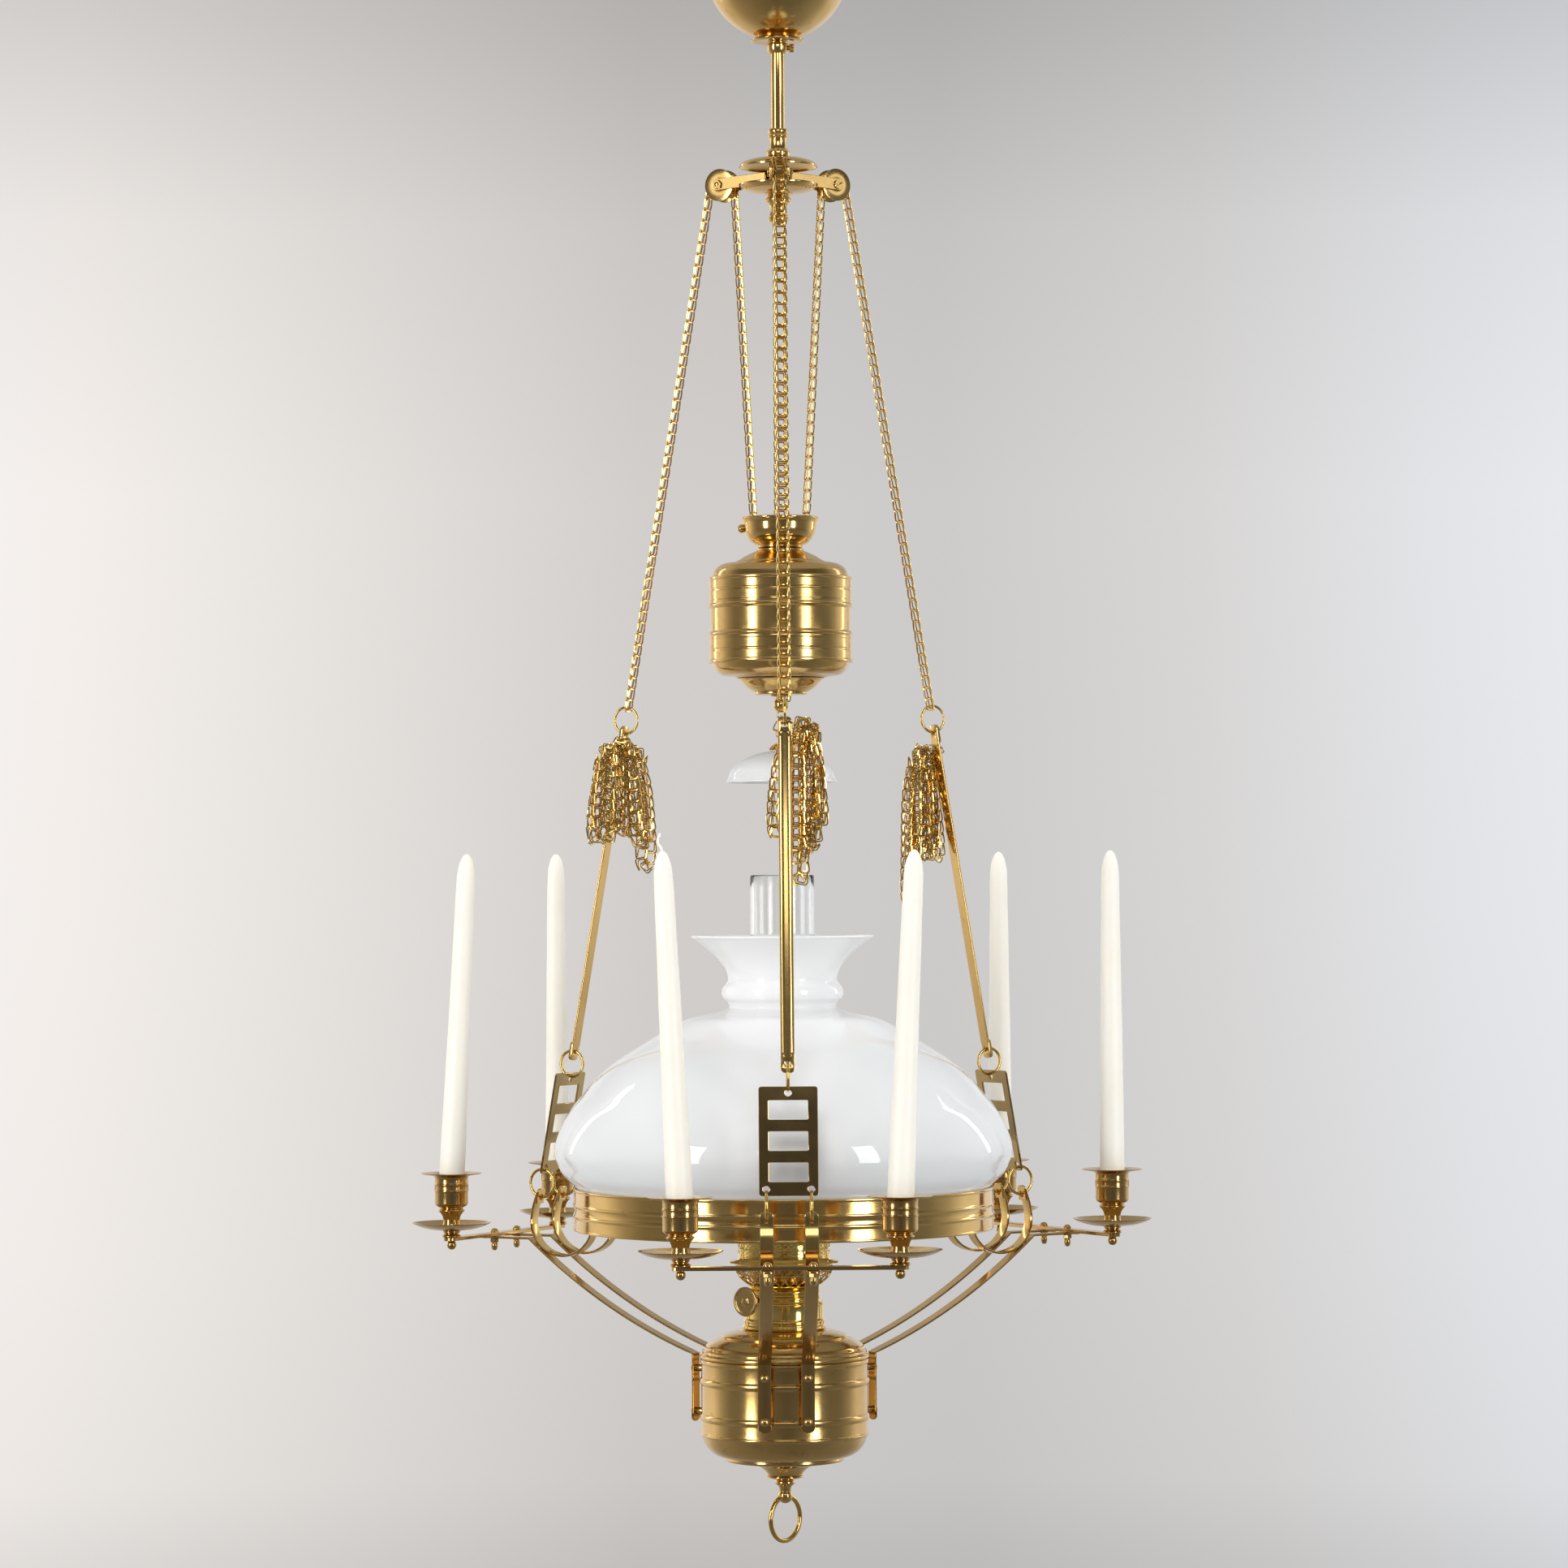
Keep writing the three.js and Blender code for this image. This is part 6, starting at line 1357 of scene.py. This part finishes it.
def build_burner():
    foot = high("oil_font") + GAP
    top = foot + 56.0
    thread = low("burner")
    bore, tube = 11.5, 14.0
    body = turned([
        (bore, thread), (21.7, thread),
        *shifted(0, foot, (21.7, 0), (34.4, 0, 0.4), (35.4, 1.0, 0.6), (35.4, 3.0, 0.6), (34.2, 3.8, 0.3),
            (34.4, 5.6, 0.3), (35.0, 7.2, 0.6), (34.0, 8.6, 0.5), (33.2, 9.2, 0.3), (33.2, 20.6, 0.3),
            (34.2, 21.4, 0.4), (33.6, 22.6, 0.4), (31.0, 23.2, 0.4), (30.4, 25.0, 0.3), (31.2, 26.2, 0.4),
            (31.2, 27.6, 0.4), (29.2, 29.0, 0.8), (29.0, 30.4, 0.6), (30.8, 31.6, 0.5), (30.8, 33.0, 0.4),
            (28.2, 35.0, 0.8), (27.8, 36.4, 0.5), (26.6, 36.6), (26.6, 1.4)),
        (tube, foot + 1.4), (tube, high("burner")), (bore, high("burner")),
    ], 0.3, 112, 2)
    # The burner's brass carries painted light as well as its own yellow colour.
    make("burner_body", body, lemon_brass_and_painted_light, "font", "burner")

    basket_low, basket_high = foot + 36.2, top - 0.6
    span = basket_high - basket_low

    def basket_radius(level):
        t = min(max((level - basket_low) / span, 0), 1)
        return 28.6 + 12.0 * math.sin(min(t * 1.35, 1.0) * math.pi / 2) - 1.0 * max(t - 0.8, 0)

    middle = basket_low + span * 0.52
    lattice = arch_row(basket_radius, basket_low + 0.5, middle + 1.0, 26, 0.5)
    lattice.add(arch_row(basket_radius, middle - 0.4, basket_high - 0.8, 26, 0.5, 0.5))
    for level, wire in ((basket_low + 0.5, 0.7), (middle + 0.3, 0.55), (basket_high - 0.7, 0.8)):
        radius = basket_radius(level)
        band = lathe([(radius + wire * x, level + wire * y) for x, y in circle(1, 8)], 96)
        lattice.add(band)
    make("burner_basket", lattice, lemon_brass_and_painted_light, "font")
    screen = turned([
        (23.8, basket_low), (25.0, basket_low), (35.5, basket_high), (34.3, basket_high),
    ], 0.1, 72)
    make("burner_screen", screen, aged, "font")

    azimuth = -128.3
    level = foot + 26.2
    towards = move(0, 0, level) @ turn(azimuth, "Z") @ turn(90, "Y")
    reach, radius = 55.0, 12.5
    knob = turned([
        (0, 20.3), (1.7, 20.3),
        *shifted(0, reach, (1.7, -8.5, 0), (3.6, -8.1, 0.3), (3.6, -3.9, 0.4), (5.2, -2.9, 0.4)),
        *shifted(radius, reach, (-1.6, -2.4, 0.3), (-0.5, -2.7, 0.4), (0, -1.9, 0.4), (0, -1.0, 0.4),
            (-0.6, -0.2, 0.4), (-2.2, -0.2, 0.3), (-3.0, -0.9, 0.4)),
        (3.4, reach - 0.7, 0.6), (2.6, reach, 0.4), (0, reach),
    ], 0.2, 144, 2)

    def rosette(r, a, z):
        if r > radius - 0.7:
            return r + 0.22 * abs(math.cos(24 * a)) - 0.2, z
        if 3.4 < r < radius - 2.9 and z > reach - 1.2:
            return r, z + 0.45 * abs(math.cos(5 * a)) * math.sin(math.pi * (r - 3.4) / (radius - 6.3))
        return r, z

    make("knob_rosette", warped(knob, rosette).moved(towards), cast, "knob", "wick_knob")
    sleeve = turned([
        (2.2, 29), (4.6, 29, 0.3), (4.6, 33.6, 0.4), (3.4, 34.4, 0.3), (3.4, 37.0, 0.3), (2.2, 37.0),
    ], 0.2, 32)
    make("burner_shaft_sleeve", sleeve.moved(towards), polished, "font")

    make("wick_woven", turned([
        (8.2, low("wick")), (11.2, low("wick")), (11.2, high("wick")), (8.2, high("wick")),
    ], 0.8, 72, 4), wick_cotton, "wick_body", "wick")

    bottom, top = low("chimney_gallery"), high("chimney_gallery")
    make("gallery_ring", turned([
        *shifted(0, bottom, (14.3, 0), (46.4, 0, 0.3), (47.4, 0.4, 0.3), (47.0, 1.2, 0.3),
            (43.4, 1.7, 0.8), (39.6, 2.6, 0.5), (39.0, 3.8, 0.3), (38.6, 5.2, 0.3), (39.0, 6.0, 0.3),
            (38.8, 6.8, 0.2)),
        *shifted(0, top, (38.6, -7.4, 0.2), (39.0, -6.8, 0.3), (38.6, -6.2, 0.2), (38.6, -1.2, 0.3),
            (39.0, -0.6, 0.3), (38.6, 0, 0.2), (37.8, 0, 0.2)),
        (37.9, bottom + 3.2, 0.8), (34.2, bottom + 2.0), (34.2, top - 4, 0.3), (33.0, top - 4, 0.3),
        (32.9, bottom + 1.4), (14.3, bottom + 1.4),
    ], 0.3, 128, 2), lemon_brass_and_painted_light, "font", "chimney_gallery")
    emboss = arch_row(lambda level: 38.55, top - 5.9, top - 1.6, 44, 0.32, 0.0, 5)
    emboss.add(arch_row(lambda level: 38.6, bottom + 7.4, top - 8.0, 30, 0.28, 0.5, 6))
    make("gallery_arches", emboss, lemon_brass_and_painted_light, "font")


def build_chimney():
    bottom, top = low("chimney"), high("chimney")
    wall = 1.8
    control = [
        *shifted(0, bottom, (31.6, 0), (31.8, 10), (31.6, 20), (29.4, 27.5), (25.6, 33.5), (24.5, 38),
            (25.4, 44), (26.9, 52), (27.3, 62), (27.3, 120), (27.3, 220)),
        (27.3, top - 1.2),
    ]
    outside = smooth(control, 6)
    inside = [(r - wall, z) for r, z in outside]
    lip = [(26.9, top - 0.3), (26.4, top), (25.9, top - 0.3)]
    make("chimney_glass_tube", lathe([*outside, *lip, *reversed(inside)], 128), clear, "chimney_glass",
         "chimney", sharp=GLASS_CREASE)


# Studio

def combined(tree, kind, first, second):
    """One math node; the second value is a socket or a number."""
    node = tree.nodes.new("ShaderNodeMath")
    node.operation = kind
    link(tree, first, node.inputs[0])
    if hasattr(second, "is_output"):
        link(tree, second, node.inputs[1])
    else:
        node.inputs[1].default_value = second
    return node.outputs[0]


def srgb(red, green, blue):
    """A screen colour of 0 to 255 as linear light."""
    return tuple(((c / 255 + 0.055) / 1.055) ** 2.4 for c in (red, green, blue))


def backdrop_painted_light(tree):
    """Pale grey with painted light: warm and brighter to the left, cooler to the right, painted shade above
    and at the floor; in gloss, darker on the camera's side.
    """
    coordinates = tree.nodes.new("ShaderNodeTexCoord")
    parts = separate(tree, coordinates.outputs["Object"])
    # Painted light: brighter and warmer to the left, cooler to the right.
    across = ramp(tree, mapped(tree, parts["X"], -1.9, 2.1), [
        (0.0, srgb(246, 242, 239)), (0.11, srgb(242, 237, 233)), (0.25, srgb(228, 224, 220)),
        (0.43, srgb(208, 204, 201)), (0.6, srgb(203, 201, 200)), (0.75, srgb(214, 212, 211)),
        (0.88, srgb(225, 226, 229)), (1.0, srgb(234, 235, 239))])
    # Painted shade: darker above and towards the floor.
    painted_shade_by_height = ramp(tree, mapped(tree, parts["Z"], -2.4, 1.6), [
        (0.0, 0.74), (0.065, 0.84), (0.095, 0.93), (0.2, 0.97), (0.38, 0.99), (0.62, 1.0), (0.78, 0.91),
        (0.9, 0.71), (1.0, 0.6)])
    seen = mix(tree, 1.0, across, painted_shade_by_height, "MULTIPLY")
    # Painted shade for gloss: the studio darkens towards the camera's side, as a dark room that the metal
    # mirrors.
    depth = ramp(tree, mapped(tree, parts["Y"], -4.0, 4.0), [
        (0.0, 0.16), (0.4, 0.23), (0.62, 0.45), (0.85, 1.0)])
    path = tree.nodes.new("ShaderNodeLightPath")
    mirrored_with_painted_shade = mix(tree, 1.0, seen, depth, "MULTIPLY")
    return mix(tree, path.outputs["Is Glossy Ray"], seen, mirrored_with_painted_shade)


def studio_paper():
    """The backdrop: its tones with painted light for the camera, gloss and glass, and a plain matt surface
    otherwise.
    """
    material = bpy.data.materials.new("studio_paper")
    material.use_nodes = True
    tree = material.node_tree
    tree.nodes.clear()
    output = tree.nodes.new("ShaderNodeOutputMaterial")
    path = tree.nodes.new("ShaderNodeLightPath").outputs
    seen = combined(tree, "MAXIMUM", path["Is Camera Ray"], path["Is Glossy Ray"])
    seen = combined(tree, "MAXIMUM", seen, path["Is Transmission Ray"])
    matt = tree.nodes.new("ShaderNodeBsdfDiffuse")
    set_inputs(matt, Color=(0.62, 0.63, 0.64, 1.0))
    glow = tree.nodes.new("ShaderNodeEmission")
    set_inputs(glow, Strength=1.06)
    link(tree, backdrop_painted_light(tree), glow.inputs["Color"])
    blend = tree.nodes.new("ShaderNodeMixShader")
    sources = (combined(tree, "MULTIPLY", seen, 0.93), matt.outputs[0], glow.outputs[0])
    for socket, source in zip(blend.inputs, sources):
        link(tree, source, socket)
    link(tree, blend.outputs[0], output.inputs["Surface"])
    return material


def build_stage():
    radius, floor_level, rise, cove, steps = 7.2, -2.35, 6.5, 2.4, 96
    outline = [(radius - cove, floor_level), *arc(radius - cove, floor_level + cove, cove, -90, 0, 12)[1:],
               (radius, rise)]
    points = [(0, 0, floor_level)]
    for r, z in outline:
        points += [(x, y, z) for x, y in circle(r, steps)]
    faces = [(0, 1 + k, 1 + (k + 1) % steps) for k in range(steps)]
    for i in range(len(outline) - 1):
        for k in range(steps):
            n = (k + 1) % steps
            a, b = 1 + i * steps, 1 + (i + 1) * steps
            faces.append((a + k, b + k, b + n, a + n))
    mesh = bpy.data.meshes.new("studio")
    mesh.from_pydata(points, [], faces)
    mesh.shade_smooth()
    studio = bpy.data.objects.new("studio", mesh)
    scene.collection.objects.link(studio)
    mesh.materials.append(studio_paper())


def softbox(name, location, target, width, height, power, tone=(1.0, 1.0, 1.0)):
    data = bpy.data.lights.new(name, "AREA")
    data.shape = "RECTANGLE"
    data.size, data.size_y = width, height
    data.energy = power
    data.color = tone
    lamp = bpy.data.objects.new(name, data)
    scene.collection.objects.link(lamp)
    lamp.location = location
    lamp.rotation_euler = (Vector(target) - Vector(location)).to_track_quat("-Z", "Y").to_euler()
    lamp.visible_camera = False
    return lamp


def around(azimuth, distance, height):
    """A place in the studio: azimuth 0 is the camera's side, positive to the right."""
    angle = math.radians(azimuth)
    return (distance * math.sin(angle), -distance * math.cos(angle), height)


def build_lights():
    middle = (0, 0, -0.8)
    softbox("strip_left", around(-48, 3.4, -0.35), middle, 0.7, 2.5, 38, (1.0, 0.99, 0.97))
    softbox("strip_right", around(41, 3.4, -0.35), middle, 0.66, 2.5, 35, (0.98, 0.99, 1.0))
    softbox("high_panel", around(0, 4.4, 1.04), middle, 2.4, 0.72, 15)
    for name, azimuth in (("edge_left", -132), ("edge_right", 122)):
        softbox(name, around(azimuth, 3.3, 0.15), middle, 0.22, 2.4, 6)
    for azimuth in (-60, 60):
        softbox(f"hub_panel_{azimuth}", around(azimuth, 3.4, 0.32), (0, 0, -0.2), 0.8, 0.5, 1.4)
    for lamp in (  # soft light that no metal mirrors
            softbox("side_left", around(-85, 4.4, -0.4), middle, 1.6, 2.6, 52),
            softbox("side_right", around(85, 4.4, -0.4), middle, 1.6, 2.6, 41),
            softbox("front", around(-8, 4.4, 1.6), middle, 1.6, 1.2, 38),
            softbox("top", (0.2, -0.2, 2.6), middle, 2.6, 2.0, 58)):
        lamp.visible_glossy = False
    world = bpy.data.worlds.new("studio_air")
    world.use_nodes = True
    set_inputs(world.node_tree.nodes["Background"], Color=(0.96, 0.97, 1.0, 1.0), Strength=0.42)
    scene.world = world


CAMERA_PLACE = (-0.07708, -4.17147, -0.78859)
CAMERA_PAN, CAMERA_TILT, CAMERA_ROLL = -1.088, 91.107, -0.305
LENS = 112.95


def build_camera():
    data = bpy.data.cameras.new("camera")
    data.lens = LENS
    data.sensor_width = 36.0
    camera = bpy.data.objects.new("camera", data)
    scene.collection.objects.link(camera)
    camera.matrix_world = (move(*CAMERA_PLACE) @ turn(CAMERA_PAN, "Z") @ turn(CAMERA_TILT, "X")
                           @ turn(CAMERA_ROLL, "Z"))
    scene.camera = camera


build_camera()
build_stage()
build_lights()
build_rose()
build_stem()
build_hub()
build_weight()
build_bell()
build_shade()
build_holder()
build_font()
build_burner()
build_chimney()
for side in LEGS:
    build_pulley(side)
    build_chain(side)
    build_rod(side)
    build_ladder(side)
    build_bundle(side)
    build_candles(side)
    for mark, sign in (("a", -1), ("b", 1)):
        build_arm(side, mark, sign)

scene.view_settings.view_transform = "Standard"
